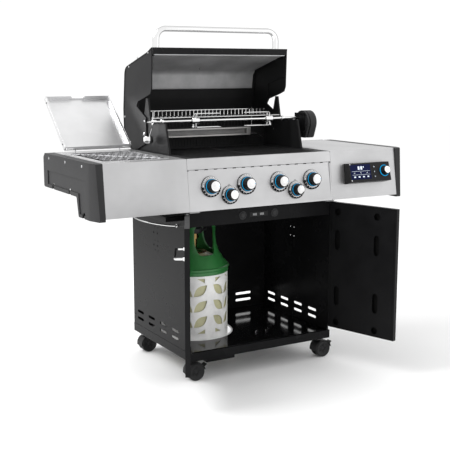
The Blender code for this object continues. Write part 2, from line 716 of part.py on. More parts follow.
def side_burner():
    """A pan hung in the left shelf, with its burner in the middle."""
    (x0, y0), (x1, y1) = WELL
    item = box("side_burner", (x0 + GAP, y0 + GAP, 0.900), (x1 - GAP, y1 - GAP, SHELF_TOP - 0.003))
    cut(item, box("pan", (x0 + 0.004, y0 + 0.004, 0.902), (x1 - 0.004, y1 - 0.004, 1.0)))
    centre = ((x0 + x1) / 2, (y0 + y1) / 2)
    fuse(item, rod("burner", (*centre, 0.901), (*centre, 0.930), 0.045, 24))
    return paint(item, STEEL)


def side_burner_grate():
    x0, x1, y0, y1 = -0.700, -0.420, -0.198, 0.166
    count, rim = 12, 0.006
    pitch = (x1 - x0 - 2 * rim) / count
    holes = [rectangle((x0 + rim + pitch * i + 0.003, y0 + 0.008),
                       (x0 + rim + pitch * (i + 1) - 0.003, y1 - 0.008)) for i in range(count)]
    item = plate("side_burner_grate", rectangle((x0, y0), (x1, y1)), 0.008, "XY", SHELF_TOP + 0.0015, holes)
    return paint(item, CHROME)


def side_burner_lid():
    """A shallow pan, laid out closed with its lips down, with a finger notch in its front lip."""
    hinge = pivot("side_burner_lid_hinge", SIDE_HINGE, (-SIDE_LID_OPEN, 0, 0))
    x0, x1 = SIDE_LID_X
    wall = 0.0012
    item = box("side_burner_lid", (x0, -SIDE_LID_DEPTH, SIDE_LID_LOW), (x1, -0.002, SIDE_LID_TOP), hinge)
    hollow = box("hollow", (x0 + wall, wall - SIDE_LID_DEPTH, SIDE_LID_LOW - 0.01),
                 (x1 - wall, -0.002 - wall, SIDE_LID_TOP - wall), hinge)
    middle, rim = (x0 + x1) / 2, SIDE_LID_LOW
    notch_outline = [(middle - 0.036, rim - 0.004), (middle + 0.036, rim - 0.004),
                     (middle + 0.024, rim + 0.013), (middle - 0.024, rim + 0.013)]
    notch = plate("notch", notch_outline, 0.006, "XZ", -SIDE_LID_DEPTH, parent=hinge)
    knuckles = [rod("knuckle", (x, 0, 0), (x + side * 0.03, 0, 0), 0.0045, 10, parent=hinge)
                for x, side in ((x0 + 0.01, 1), (x1 - 0.01, -1))]
    fuse(item, *knuckles)
    return paint(cut(item, hollow, notch), STEEL)


def tool_rail():
    """A bowed wire along the cart's left side, under the shelf."""
    ends, z, bow = (0.225, -0.182), 0.668, 0.066
    span = ends[1] - ends[0]
    path = [(-CART_X - GAP, ends[0], z)]
    for i in range(13):
        t = i / 12
        path.append((-CART_X - 0.010 - bow * math.sin(math.pi * t) ** 0.5, ends[0] + span * t, z))
    path.append((-CART_X - GAP, ends[1], z))
    return paint(smooth(wire("tool_rail", path, 0.004, 1)), CHROME)


def grease_tray():
    item = box("grease_tray", (-0.2050, -0.150, 0.6885), (0.2050, 0.196, 0.714))
    return paint(cut(item, box("pan", (-0.2035, -0.1485, 0.690), (0.2035, 0.1945, 0.73))), STEEL)


# ---------------------------------------------------------------- lid

def lid_profile():
    """The outside of the lid's skin, from its rear edge over the top to the front rim."""
    return filleted(LID_TOP_OUTLINE, 0.045, 4)


def lid_end(name, side, hinge):
    lower = [(-0.207, -0.074), (-0.183, -0.063), (-0.168, -0.024), (-0.140, 0.067), (-0.117, 0.084),
             (-0.072, -0.016), (0.040, -0.024)]
    outline = lid_profile() + lower
    middle = side * (LID_END_IN + LID_END_OUT) / 2
    item = plate(name, outline, LID_END_OUT - LID_END_IN, "YZ", middle, parent=hinge)
    reach = side * (FIREBOX_X - CASTING - 0.003)
    fuse(item, rod("pin", (reach, 0, 0), (side * (LID_END_OUT + 0.004), 0, 0), 0.005, 12, parent=hinge))
    return paint(item, CAST)


def lid_shell(hinge):
    profile = lid_profile() + [(-0.352, -0.0745)]
    item = bent_sheet("lid_shell", profile, (-LID_SHELL_X, LID_SHELL_X), parent=hinge)
    cut(item, rod("bore", *thermometer_line(-0.03, 0.02), 0.006, 12, parent=hinge))
    return paint(item, STEEL)


def thermometer_line(inward, outward):
    """Two points on the thermometer's axis, square to the front of the closed lid."""
    low, top = Vector((0, -0.362, -0.036)), Vector((0, -0.286, 0.211))
    place = low.lerp(top, 0.74)
    along = (top - low).normalized()
    out = Vector((0, -along.z, along.y))
    return place + out * inward, place + out * outward


def lid_liner(hinge):
    profile = filleted([(-0.140, 0.208), (-0.270, 0.194), (-0.343, -0.040), (-0.349, -0.066)], 0.035, 3)
    item = bent_sheet("lid_liner", profile, (-0.335, 0.335), 0.001, parent=hinge)
    cut(item, rod("bore", *thermometer_line(-0.06, 0.0), 0.007, 12, parent=hinge))
    return paint(item, STEEL)


def lid_thermometer(hinge):
    face, out = thermometer_line(0, 1)
    axis = (out - face).normalized()
    item = turned("lid_thermometer", [(0, 0.016), (0.030, 0.016), (0.035, 0.012), (0.036, 0.001),
                                      (0.005, 0.001), (0.005, -0.004), (0.003, -0.006), (0.003, -0.055),
                                      (0, -0.057)], 24, hinge)
    turn = Matrix.Translation(face) @ axis.to_track_quat("Z", "X").to_matrix().to_4x4()
    item.data.transform(turn)
    return paint(smooth(item), CHROME)


def lid_handle(hinge):
    """A tube bar on two legs that stand square to the front of the lid, near its rim."""
    foot, bar, up, reach = -0.350, -0.461, -0.033, 0.315
    path = [(-reach, foot, up), (-reach, bar, up), (reach, bar, up), (reach, foot, up)]
    item = wire("lid_handle", filleted(path, 0.045, 5), HANDLE_R, 2, parent=hinge)
    face = [(y - 0.0008, z) for y, z in LID_TOP_OUTLINE[4:]] + [(-0.250, -0.074), (-0.250, 0.211)]
    cut(item, plate("seat", face, 0.700, "YZ", 0, parent=hinge))
    return paint(item, CHROME)


def lid():
    hinge = pivot("lid_hinge", LID_HINGE, (-LID_OPEN, 0, 0))
    lid_shell(hinge)
    lid_liner(hinge)
    lid_end("lid_end_left", -1, hinge)
    lid_end("lid_end_right", 1, hinge)
    lid_thermometer(hinge)
    lid_handle(hinge)


# ---------------------------------------------------------------- rotisserie

def spit_fork(name, x, side, spit):
    item = rod(name, (x - 0.018, 0, 0), (x + 0.018, 0, 0), 0.013, 12, parent=spit)
    prongs = []
    for y in (-0.0105, 0.0105):
        root, tip = x, x + side * 0.125
        path = [(tip, y, 0.030), (root, y, 0.030), (root, y, -0.030), (tip, y, -0.030)]
        prongs.append(wire("prong", path, 0.0025, 0, parent=spit))
    screw = rod("screw", (x - side * 0.010, 0, 0), (x - side * 0.010, 0, -0.030), 0.004, 8, parent=spit)
    fuse(item, *prongs, screw)
    bore = rod("bore", (x - 0.05, 0, 0), (x + 0.05, 0, 0), SPIT_R + GAP, 12, parent=spit)
    return paint(cut(item, bore), CHROME)


def spit_counterweight(spit):
    x = -0.366
    ball = Vector((x - 0.012, 0.032, -0.078))
    item = rod("spit_counterweight", (x - 0.008, 0, 0), (x + 0.010, 0, 0), 0.011, 12, parent=spit)
    arm = wire("arm", [(x, 0.006, 0.042), (x, 0.0085, 0.0), (x, 0.020, -0.030), tuple(ball)], 0.002, 0,
               parent=spit)
    knob = rod("knob", ball - Vector((0, 0, 0.016)), ball + Vector((0, 0, 0.016)), 0.018, 16, parent=spit)
    fuse(item, arm, knob)
    bore = rod("bore", (x - 0.05, 0, 0), (x + 0.05, 0, 0), SPIT_R + GAP, 12, parent=spit)
    return paint(cut(item, bore), CHROME)


def rotisserie():
    spit = pivot("spit_axis", SPIT)
    paint(smooth(rod("spit_rod", (-0.378, 0, 0), (0.402, 0, 0), SPIT_R, 12, parent=spit)), CHROME)
    spit_fork("spit_fork_left", -0.164, 1, spit)
    spit_fork("spit_fork_right", 0.222, -1, spit)
    spit_counterweight(spit)

    outline = arc((0.000, 1.071), 0.056, -20, 200, 12)
    outline += [(-0.034, 1.003), (-0.026, 0.999), (0.030, 0.999), (0.040, 1.006)]
    motor = plate("rotisserie_motor", outline, 0.050, "YZ", 0.4150)
    socket = rod("socket", (0.380, SPIT.y, SPIT.z), (0.406, SPIT.y, SPIT.z), 0.009, 12)
    paint(cut(motor, socket), PLASTIC)

    bracket = box("motor_bracket", (FIREBOX_X + GAP, 0.014, 1.050), (0.3885, 0.052, 1.072))
    back = box("back", (0.3855, -0.030, 1.030), (0.3885, 0.052, 1.115))
    fuse(bracket, back)
    hole_cut = rod("bore", (0.370, SPIT.y, SPIT.z), (0.392, SPIT.y, SPIT.z), 0.009, 12)
    paint(cut(bracket, hole_cut), BLACK_STEEL)


# ---------------------------------------------------------------- casters

def caster_hood_shape(parent):
    """A hood over twin wheels, the web between them and the stem into the cart's floor."""
    outer = arc((TRAIL, WHEEL_R), 0.0425, 10, 190, 12)
    inner = arc((TRAIL, WHEEL_R), 0.0400, 190, 10, 12)
    item = plate("caster_hood", outer + inner, 0.052, "XZ", 0, parent=parent)
    web = arc((TRAIL, WHEEL_R), 0.0412, 10, 190, 12) + arc((TRAIL, WHEEL_R), 0.018, 200, 340, 5)
    fuse(item, plate("web", web, 0.008, "XZ", 0, parent=parent))
    fuse(item, rod("cup", (0, 0, 0.0785), (0, 0, SKIRT_LOW), 0.013, 12, parent=parent),
         rod("stem", (0, 0, 0.090), (0, 0, 0.126), 0.005, 10, parent=parent))
    bore = rod("bore", (TRAIL, -0.006, WHEEL_R), (TRAIL, 0.006, WHEEL_R), 0.0085, 12, parent=parent)
    return as_mesh(cut(item, bore))


def casters():
    wheel_profile = [(0.031, 0.026), (0.0365, 0.0245), (WHEEL_R, 0.022), (WHEEL_R, 0.0065), (0.0365, 0.0055),
                     (0.008, 0.0050)]
    mirrored = [(radius, -z) for radius, z in reversed(wheel_profile)]
    profile = [(0, 0.024), (0.024, 0.024)] + wheel_profile + mirrored + [(0.024, -0.024), (0, -0.024)]
    ends = {-1: "front", 1: "rear"}
    sides = {-1: "left", 1: "right"}
    for side, side_name in sides.items():
        for end, end_name in ends.items():
            label = f"{end_name}_{side_name}"
            swivel = pivot(f"caster_{label}_swivel", (side * CASTER_X, end * CASTER_Y, 0))
            hood = caster_hood_shape(swivel)
            hood.name = f"caster_{label}"
            paint(hood, PLASTIC)
            axle = pivot(f"caster_wheel_{label}_axle", (TRAIL, 0, WHEEL_R), (90, 0, 0), swivel)
            paint(smooth(turned(f"caster_wheel_{label}", profile, 28, axle)), RUBBER)


# ---------------------------------------------------------------- the whole barbecue

cart_side_panel(-1, "cart_left_panel")
cart_side_panel(1, "cart_right_panel")
cart_rear_panel()
cart_floor()
cart_header()
cylinder_tray()
gas_cylinder()
door(-1, "door_left")
door(1, "door_right")
firebox()
main_burners()
heat_plates()
cooking_grate("cooking_grate_left", -1)
cooking_grate("cooking_grate_right", 1)
rear_burner()
warming_rack()
control_panel()
gas_manifold()
shelf("left_shelf", -1)
shelf("right_shelf", 1)
end_cap("left_end_cap", -1)
end_cap("right_end_cap", 1)
controls()
knobs()
side_burner()
side_burner_grate()
side_burner_lid()
tool_rail()
grease_tray()
lid()
rotisserie()
casters()
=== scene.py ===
"""Looks of the gas barbecue: materials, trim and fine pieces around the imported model.

Metres. ROW is the row's own frame. Most pieces are laid out about the middle of the cart, in CART.
"""
import json
import math

import bmesh
import bpy
from mathutils import Matrix, Vector

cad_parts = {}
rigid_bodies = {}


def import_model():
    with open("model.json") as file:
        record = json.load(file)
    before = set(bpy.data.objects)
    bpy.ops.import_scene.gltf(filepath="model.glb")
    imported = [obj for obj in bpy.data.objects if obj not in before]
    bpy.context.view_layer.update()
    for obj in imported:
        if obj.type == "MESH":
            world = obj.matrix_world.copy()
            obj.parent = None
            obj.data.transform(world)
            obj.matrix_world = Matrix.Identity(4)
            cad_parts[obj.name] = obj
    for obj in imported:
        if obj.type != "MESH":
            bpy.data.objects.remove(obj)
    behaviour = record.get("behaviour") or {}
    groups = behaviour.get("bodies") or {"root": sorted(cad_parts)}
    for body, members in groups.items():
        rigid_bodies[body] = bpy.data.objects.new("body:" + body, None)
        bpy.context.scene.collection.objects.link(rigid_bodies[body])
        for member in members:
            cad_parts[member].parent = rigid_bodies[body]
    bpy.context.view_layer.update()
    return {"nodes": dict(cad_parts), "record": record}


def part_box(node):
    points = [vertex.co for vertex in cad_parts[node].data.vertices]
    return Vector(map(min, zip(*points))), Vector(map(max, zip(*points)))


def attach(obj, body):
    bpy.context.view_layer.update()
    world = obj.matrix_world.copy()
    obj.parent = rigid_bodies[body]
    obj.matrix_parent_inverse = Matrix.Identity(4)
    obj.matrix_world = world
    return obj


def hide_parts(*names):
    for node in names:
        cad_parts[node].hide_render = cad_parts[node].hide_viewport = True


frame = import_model()
NODES = frame["nodes"]
JOINTS = {joint["name"]: joint for joint in frame["record"]["behaviour"]["joints"]}


# ---------------------------------------------------------------- places

SIDE_LOW, SIDE_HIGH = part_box("cart_left_panel")
CART_Y = (SIDE_LOW[1] + SIDE_HIGH[1]) / 2
FASCIA_TOP = Vector((0, -0.2656, 0.956))
FASCIA_LOW = Vector((0, -0.2948, 0.7396))
CART_SIDE = 0.3625
HEADER_FRONT, CATCH_HEIGHT = -0.2766, 0.704
LEAN = math.atan2(FASCIA_TOP.y - FASCIA_LOW.y, FASCIA_TOP.z - FASCIA_LOW.z)


def at(x, y, z):
    """A point laid out about the middle of the cart, in the row's frame."""
    return Vector((x, y + CART_Y, z))


ROW = Matrix.Identity(4)
CART = Matrix.Translation((0, CART_Y, 0))


def hinge_frame(name, angle):
    """The frame of a piece laid out closed about its hinge, turned to rest."""
    joint = JOINTS[name]
    turn = Matrix.Rotation(math.radians(angle), 4, Vector(joint["axis"]))
    return Matrix.Translation(joint["pos_m"]) @ turn


def closed_frame(name):
    return hinge_frame(name, -JOINTS[name]["range_deg"][1])


def facing_frame(place, out, across=(1, 0, 0)):
    """Z along out, X across, at a place."""
    z = Vector(out).normalized()
    x = Vector(across).normalized()
    y = z.cross(x).normalized()
    return Matrix.Translation(place) @ Matrix((x, y, z)).transposed().to_4x4()


def side_frame(place, side):
    """Z out to the left or the right, X to the back."""
    return facing_frame(place, (side, 0, 0), (0, 1, 0))


def fascia_frame(x, z):
    """A frame lying on the leaning front face, with Z out of it."""
    y = FASCIA_TOP.y + (z - FASCIA_TOP.z) * math.tan(LEAN)
    return facing_frame(at(x, y, z), (0, -math.cos(LEAN), math.sin(LEAN)))


# ---------------------------------------------------------------- materials

def shader_of(material):
    return material.node_tree.nodes["Principled BSDF"]


def set_inputs(node, values):
    """Sets a node's inputs by name, with underscores for the spaces."""
    for key, value in values.items():
        node.inputs[key.replace("_", " ")].default_value = value


def add(material, kind, **values):
    node = material.node_tree.nodes.new(f"ShaderNode{kind}")
    set_inputs(node, values)
    return node


def link(material, output, target):
    material.node_tree.links.new(output, target)


def principled(name, colour, roughness, metallic=0.0, **extra):
    material = bpy.data.materials.new(name)
    material.use_nodes = True
    set_inputs(shader_of(material),
        {"Base Color": (*colour, 1), "Roughness": roughness, "Metallic": metallic, **extra})
    return material


def noise(material, scale, stretch=(1, 1, 1), detail=4.0, roughness=0.6):
    """Noise in the piece's own space, drawn out along the axes with a small stretch."""
    place = add(material, "TexCoord")
    mapping = add(material, "Mapping", Scale=stretch)
    texture = add(material, "TexNoise", Scale=scale, Detail=detail, Roughness=roughness)
    link(material, place.outputs["Object"], mapping.inputs["Vector"])
    link(material, mapping.outputs["Vector"], texture.inputs["Vector"])
    return texture.outputs["Fac"]


def vary_roughness(material, source, low, high):
    span = add(material, "MapRange", From_Min=0.3, From_Max=0.7, To_Min=low, To_Max=high)
    link(material, source, span.inputs["Value"])
    link(material, span.outputs["Result"], shader_of(material).inputs["Roughness"])


def colour_ramp(material, source, stops):
    """Colours the surface by a source, with (place, colour) stops."""
    ramp = add(material, "ValToRGB")
    for index, (place, colour) in enumerate(stops):
        stop = ramp.color_ramp.elements[index] if index < 2 else ramp.color_ramp.elements.new(place)
        stop.position = place
        stop.color = (*colour, 1)
    link(material, source, ramp.inputs["Fac"])
    link(material, ramp.outputs["Color"], shader_of(material).inputs["Base Color"])


def vary_colour(material, source, dark, light):
    colour_ramp(material, source, ((0.35, dark), (0.65, light)))


def bump(material, source, distance, strength=1.0):
    relief = add(material, "Bump", Strength=strength, Distance=distance)
    link(material, source, relief.inputs["Height"])
    link(material, relief.outputs["Normal"], shader_of(material).inputs["Normal"])


def rim_shade(material, stops):
    """Darkens polished metal towards its outline, as dark studio cards around it would."""
    weight = add(material, "LayerWeight", Blend=0.5)
    colour_ramp(material, weight.outputs["Facing"], [(place, (level,) * 3) for place, level in stops])


def scaled(colour, factor):
    return tuple(channel * factor for channel in colour)


def brushed(name, colour, roughness, stretch, depth=0.00004):
    """Sheet steel with a fine brushed grain that runs along the axis with the small stretch."""
    material = principled(name, colour, roughness, 1.0)
    lines = noise(material, 900, stretch, 3.0, 0.7)
    clouds = noise(material, 5, (1, 1, 1), 3.0)
    vary_colour(material, clouds, scaled(colour, 0.94), scaled(colour, 1.05))
    vary_roughness(material, lines, roughness - 0.07, roughness + 0.09)
    bump(material, lines, depth, 0.35)
    return material


def grained(name, colour, roughness, scale, depth, metallic=0.0, spread=0.08, **extra):
    """A moulded, painted or cast surface: a fine even relief with a little change of colour and gloss."""
    material = principled(name, colour, roughness, metallic, **extra)
    grain = noise(material, scale, (1, 1, 1), 4.0, 0.6)
    clouds = noise(material, 9, (1, 1, 1), 4.0)
    vary_colour(material, clouds, scaled(colour, 0.85), scaled(colour, 1.15))
    vary_roughness(material, clouds, roughness - spread / 2, roughness + spread / 2)
    bump(material, grain, depth, 0.5)
    return material


ALONG_X = (0.012, 1, 1)
ALONG_Z = (1, 1, 0.012)
STEEL = brushed("stainless", (0.54, 0.54, 0.545), 0.36, ALONG_X)
STEEL_SHELF = brushed("stainless_shelf", (0.53, 0.53, 0.535), 0.4, ALONG_X)
STEEL_LID = brushed("stainless_lid", (0.52, 0.52, 0.525), 0.3, ALONG_X)
# A much lighter copy of the stainless for the side burner's lid, hem and pan rim: painted light, for the
# bright face of the open lid.
STEEL_PAINTED_LIGHT = brushed("stainless_pan", (0.79, 0.79, 0.795), 0.34, ALONG_Z, 0.00002)
STEEL_DULL = grained("aluminised_steel", (0.36, 0.36, 0.365), 0.45, 260, 0.00012, 1.0, 0.14)
CHROME = grained("chrome", (0.8, 0.8, 0.81), 0.1, 400, 0.00001, 1.0, 0.05)
rim_shade(CHROME, ((0.0, 0.86), (0.45, 0.78), (0.72, 0.22), (0.9, 0.05)))
ZINC = grained("zinc_screw", (0.62, 0.62, 0.63), 0.28, 500, 0.00003, 1.0, 0.1)
CABINET = grained("cabinet_black", (0.008, 0.008, 0.0085), 0.26, 900, 0.00003, 0.0, 0.06,
    Specular_IOR_Level=0.07)
FLOOR_BLACK = grained("floor_black", (0.006, 0.006, 0.0065), 0.1, 900, 0.00002, 0.0, 0.04,
    Specular_IOR_Level=0.45)
DOOR_BLACK = grained("door_black", (0.007, 0.007, 0.0075), 0.34, 900, 0.00004, 0.0, 0.08,
    Specular_IOR_Level=0.1)
CAST_BLACK = grained("cast_black", (0.01, 0.01, 0.0105), 0.48, 420, 0.00022, 0.0, 0.12,
    Specular_IOR_Level=0.16)
LID_BLACK = grained("lid_end_black", (0.01, 0.01, 0.0105), 0.4, 500, 0.00014, 0.0, 0.1,
    Specular_IOR_Level=0.12)
IRON = grained("cast_iron", (0.012, 0.012, 0.0125), 0.55, 300, 0.0004, 0.0, 0.2, Specular_IOR_Level=0.2)
PLASTIC = grained("moulded_grey", (0.022, 0.022, 0.023), 0.5, 1400, 0.00006, 0.0, 0.1,
    Specular_IOR_Level=0.25)
PLASTIC_DARK = grained("moulded_black", (0.008, 0.008, 0.0085), 0.38, 1200, 0.00004, 0.0, 0.08,
    Specular_IOR_Level=0.2)
TREAD = grained("wheel_black", (0.014, 0.014, 0.0145), 0.52, 700, 0.00008, 0.0, 0.12, Specular_IOR_Level=0.25)
# Near-black for the black print and dark screws, and for painted shade in the holes, slots, grooves and gaps
# drawn with it.
DARK = grained("slot_dark", (0.003, 0.003, 0.003), 0.7, 300, 0.00005, Specular_IOR_Level=0.1)
LINER = grained("liner_steel", (0.43, 0.43, 0.435), 0.55, 420, 0.0002, 0.45, 0.14)
# A light, less metallic copy of the liner steel for the liner's front edge: a painted highlight that makes it
# read as a bright strip.
LINER_EDGE_HIGHLIGHT = grained("liner_edge_steel", (0.78, 0.78, 0.79), 0.4, 420, 0.00004, 0.3, 0.1)
ROD = grained("plated_rod", (0.17, 0.17, 0.175), 0.3, 400, 0.00002, 1.0, 0.1)
GREEN = grained("collar_green", (0.028, 0.175, 0.042), 0.32, 700, 0.00006, 0.0, 0.1)
SHROUD = grained("shroud_white", (0.88, 0.88, 0.87), 0.42, 700, 0.00006, 0.0, 0.1)
CREAM = grained("bottle_cream", (0.56, 0.54, 0.33), 0.3, 180, 0.0001, 0.0, 0.1)
BRASS = grained("brass", (0.3, 0.2, 0.08), 0.3, 500, 0.00004, 1.0, 0.12)
BLUE = grained("ring_blue", (0.0, 0.24, 0.5), 0.4, 900, 0.00002, 0.0, 0.06, Specular_IOR_Level=0.1,
    Emission_Strength=0.4, Emission_Color=(0.0, 0.36, 0.72, 1))
CAP = grained("knob_cap", (0.86, 0.86, 0.86), 0.24, 900, 0.00002, 1.0, 0.08)
SCREEN = grained("display_glass", (0.002, 0.004, 0.026), 0.12, 900, 0.00001, 0.0, 0.03,
    Specular_IOR_Level=0.08, Emission_Strength=0.2, Emission_Color=(0.004, 0.012, 0.09, 1))
LIT = grained("display_mark", (0.6, 0.65, 0.72), 0.35, 900, 0.00001, 0.0, 0.05, Emission_Strength=0.45,
    Emission_Color=(0.75, 0.85, 1.0, 1))
BURNER = grained("burner_steel", (0.52, 0.51, 0.5), 0.34, 300, 0.00008, 1.0, 0.14)
CERAMIC = grained("burner_ceramic", (0.3, 0.29, 0.28), 0.7, 260, 0.0006, 0.0, 0.1)


# ---------------------------------------------------------------- mesh tools

SHARP_ANGLE = math.radians(32)


def show(name, bm, material, body="cart", place=CART):
    """Makes a piece from mesh data laid out in a frame, and lets it ride on a body."""
    bmesh.ops.remove_doubles(bm, verts=bm.verts, dist=1e-6)
    bmesh.ops.recalc_face_normals(bm, faces=bm.faces)
    bm.transform(place)
    mesh = bpy.data.meshes.new(name)
    bm.to_mesh(mesh)
    bm.free()
    mesh.materials.append(material)
    item = bpy.data.objects.new(name, mesh)
    bpy.context.scene.collection.objects.link(item)
    mesh.shade_smooth()
    mesh.set_sharp_from_angle(angle=SHARP_ANGLE)
    if body:
        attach(item, body)
    return item


def soften(bm, width, segments=2, angle=30):
    """Rounds the edges that are sharper than an angle."""
    if width <= 0:
        return bm
    sharp = [e for e in bm.edges if len(e.link_faces) == 2 and e.calc_face_angle(0) > math.radians(angle)]
    bmesh.ops.bevel(bm, geom=sharp, offset=width, segments=segments, profile=0.5, affect="EDGES",
        clamp_overlap=True)
    return bm


def block(low, high, round_by=0.0006):
    bm = bmesh.new()
    low, high = Vector(low), Vector(high)
    scale = Matrix.Diagonal((*(high - low), 1))
    bmesh.ops.create_cube(bm, size=1, matrix=Matrix.Translation((low + high) / 2) @ scale)
    return soften(bm, round_by)


def slab(xs, ys, zs, round_by=0.0):
    """A block given by its reach along each axis, in either order."""
    low, high = zip(*(sorted(pair) for pair in (xs, ys, zs)))
    return block(low, high, round_by)


TO_PLANE = {"XY": ROW, "XZ": Matrix.Rotation(math.radians(90), 4, "X"),
    "YZ": Matrix(((0, 0, 1, 0), (1, 0, 0, 0), (0, 1, 0, 0), (0, 0, 0, 1)))}


def prism(outline, near, far, plane="XY", round_by=0.0006, segments=2):
    """An outline drawn from one depth to another, square to a plane."""
    bm = bmesh.new()
    face = bm.faces.new([bm.verts.new((across, up, near)) for across, up in outline])
    grown = bmesh.ops.extrude_face_region(bm, geom=[face])
    for vertex in (v for v in grown["geom"] if isinstance(v, bmesh.types.BMVert)):
        vertex.co.z = far
    bmesh.ops.recalc_face_normals(bm, faces=bm.faces)
    soften(bm, round_by, segments)
    bm.transform(TO_PLANE[plane])
    return bm


def lathe(profile, steps=48, sector=360.0):
    """A profile of (radius, z) turned about Z. It is closed by the axis or by itself."""
    bm = bmesh.new()
    points = [bm.verts.new((radius, 0, z)) for radius, z in profile]
    edges = [bm.edges.new(pair) for pair in zip(points, points[1:])]
    if profile[0][0] > 1e-9 or profile[-1][0] > 1e-9:
        edges.append(bm.edges.new((points[-1], points[0])))
    bmesh.ops.spin(bm, geom=points + edges, cent=(0, 0, 0), axis=(0, 0, 1), angle=math.radians(sector),
        steps=steps, use_merge=sector >= 360)
    bmesh.ops.remove_doubles(bm, verts=bm.verts, dist=1e-6)
    return bm


def barrel(start, end, radius, sides=20, end_radius=None, round_by=0.0):
    along = Vector(end) - Vector(start)
    place = Matrix.Translation((Vector(start) + Vector(end)) / 2) @ along.to_track_quat("Z",
        "Y").to_matrix().to_4x4()
    bm = bmesh.new()
    bmesh.ops.create_cone(bm, cap_ends=True, segments=sides, radius1=radius, depth=along.length,
        radius2=radius if end_radius is None else end_radius, matrix=place)
    return soften(bm, round_by, 2, 50)


def arc(centre, radius, start, end, steps):
    angles = [math.radians(start + (end - start) * i / steps) for i in range(steps + 1)]
    return [(centre[0] + radius * math.cos(a), centre[1] + radius * math.sin(a)) for a in angles]


def capsule(length, height, steps=6):
    """A level slot's outline with round ends."""
    reach, radius = length / 2 - height / 2, height / 2
    return arc((reach, 0), radius, -90, 90, steps) + arc((-reach, 0), radius, 90, 270, steps)


def corners(low, high, inset=0.0):
    """The corners of a level rectangle, drawn in from its edges."""
    x0, y0, x1, y1 = low[0] + inset, low[1] + inset, high[0] - inset, high[1] - inset
    return [(x0, y0), (x1, y0), (x1, y1), (x0, y1)]


def mirrored(half):
    """A lathe profile from its upper half."""
    return half + [(radius, -z) for radius, z in reversed(half)]


def filleted(points, radius, steps=6):
    made = [Vector(points[0])]
    for before, corner, after in zip(points, points[1:], points[2:]):
        before, corner, after = Vector(before), Vector(corner), Vector(after)
        back, ahead = (before - corner).normalized(), (after - corner).normalized()
        half = back.angle(ahead) / 2
        reach = min(radius / math.tan(half), (before - corner).length / 2.1, (after - corner).length / 2.1)
        start, end = corner + back * reach, corner + ahead * reach
        made += [start * (1 - t) ** 2 + corner * (2 * t * (1 - t)) + end * t ** 2
            for t in (i / steps for i in range(steps + 1))]
    return made + [Vector(points[-1])]


def tube(points, radius, sides=12, cyclic=False):
    """A wire or a tube that follows points, as mesh data with closed ends."""
    curve = bpy.data.curves.new("tube", "CURVE")
    curve.dimensions = "3D"
    curve.bevel_depth = radius
    curve.bevel_resolution = max(0, sides // 4 - 1)
    curve.use_fill_caps = not cyclic
    spline = curve.splines.new("POLY")
    spline.points.add(len(points) - 1)
    spline.use_cyclic_u = cyclic
    for point, place in zip(spline.points, points):
        point.co = (*place, 1)
    item = bpy.data.objects.new("tube", curve)
    bpy.context.scene.collection.objects.link(item)
    bpy.context.view_layer.update()
    mesh = bpy.data.meshes.new_from_object(item.evaluated_get(bpy.context.evaluated_depsgraph_get()))
    bm = bmesh.new()
    bm.from_mesh(mesh)
    bpy.data.objects.remove(item)
    bpy.data.meshes.remove(mesh)
    return bm


def merged(*parts):
    """Several mesh data as one, which frees the originals."""
    whole = bmesh.new()
    for bm in parts:
        mesh = bpy.data.meshes.new("part")
        bm.to_mesh(mesh)
        bm.free()
        whole.from_mesh(mesh)
        bpy.data.meshes.remove(mesh)
    return whole


def moved(bm, matrix):
    bm.transform(matrix)
    return bm


def shift(x, y, z):
    return Matrix.Translation((x, y, z))


def turn(angle, axis="Z"):
    return Matrix.Rotation(math.radians(angle), 4, axis)


def screw(radius=0.005, high=0.0025, steps=20):
    """A domed screw head on the XY plane with a cross recess."""
    head = lathe([(0, high), (radius * 0.45, high * 0.95), (radius * 0.85, high * 0.6), (radius, 0),
        (radius, -0.001), (0, -0.001)], steps)
    bars = [block((-radius * a, -radius * b, high * 0.94), (radius * a, radius * b, high * 1.05), 0)
        for a, b in ((0.45, 0.08), (0.08, 0.45))]
    return merged(head, *bars)


def screws(radius, high, places):
    return merged(*[moved(screw(radius, high), place) for place in places])


def cut_away(item, bm, name):
    """Cuts mesh data out of a finished piece."""
    bmesh.ops.recalc_face_normals(bm, faces=bm.faces)
    mesh = bpy.data.meshes.new(name)
    bm.to_mesh(mesh)
    bm.free()
    cutter = bpy.data.objects.new(name, mesh)
    bpy.context.scene.collection.objects.link(cutter)
    change = item.modifiers.new("Cut", "BOOLEAN")
    change.operation = "DIFFERENCE"
    change.solver = "EXACT"
    change.use_self = True
    change.object = cutter
    bpy.context.view_layer.update()
    evaluated = item.evaluated_get(bpy.context.evaluated_depsgraph_get())
    done = bpy.data.meshes.new_from_object(evaluated)
    item.modifiers.clear()
    item.data = done
    item.data.shade_smooth()
    item.data.set_sharp_from_angle(angle=SHARP_ANGLE)
    bpy.data.objects.remove(cutter)
    return item


# ---------------------------------------------------------------- the frame's own nodes

def dress(name, material, width=0.0006):
    """Gives a carried-over node its material and a small rounding."""
    node = NODES[name]
    node.data.materials.clear()
    node.data.materials.append(material)
    weld = node.modifiers.new("Weld", "WELD")
    weld.merge_threshold = 0.00001
    flat = node.modifiers.new("Flat", "DECIMATE")
    flat.decimate_type = "DISSOLVE"
    flat.angle_limit = math.radians(0.4)
    if width:
        bevel = node.modifiers.new("Round", "BEVEL")
        bevel.width = width
        bevel.segments = 2
        bevel.limit_method = "ANGLE"
        bevel.angle_limit = math.radians(38)
    node.data.shade_smooth()
    node.data.set_sharp_from_angle(angle=math.radians(34))
    return node


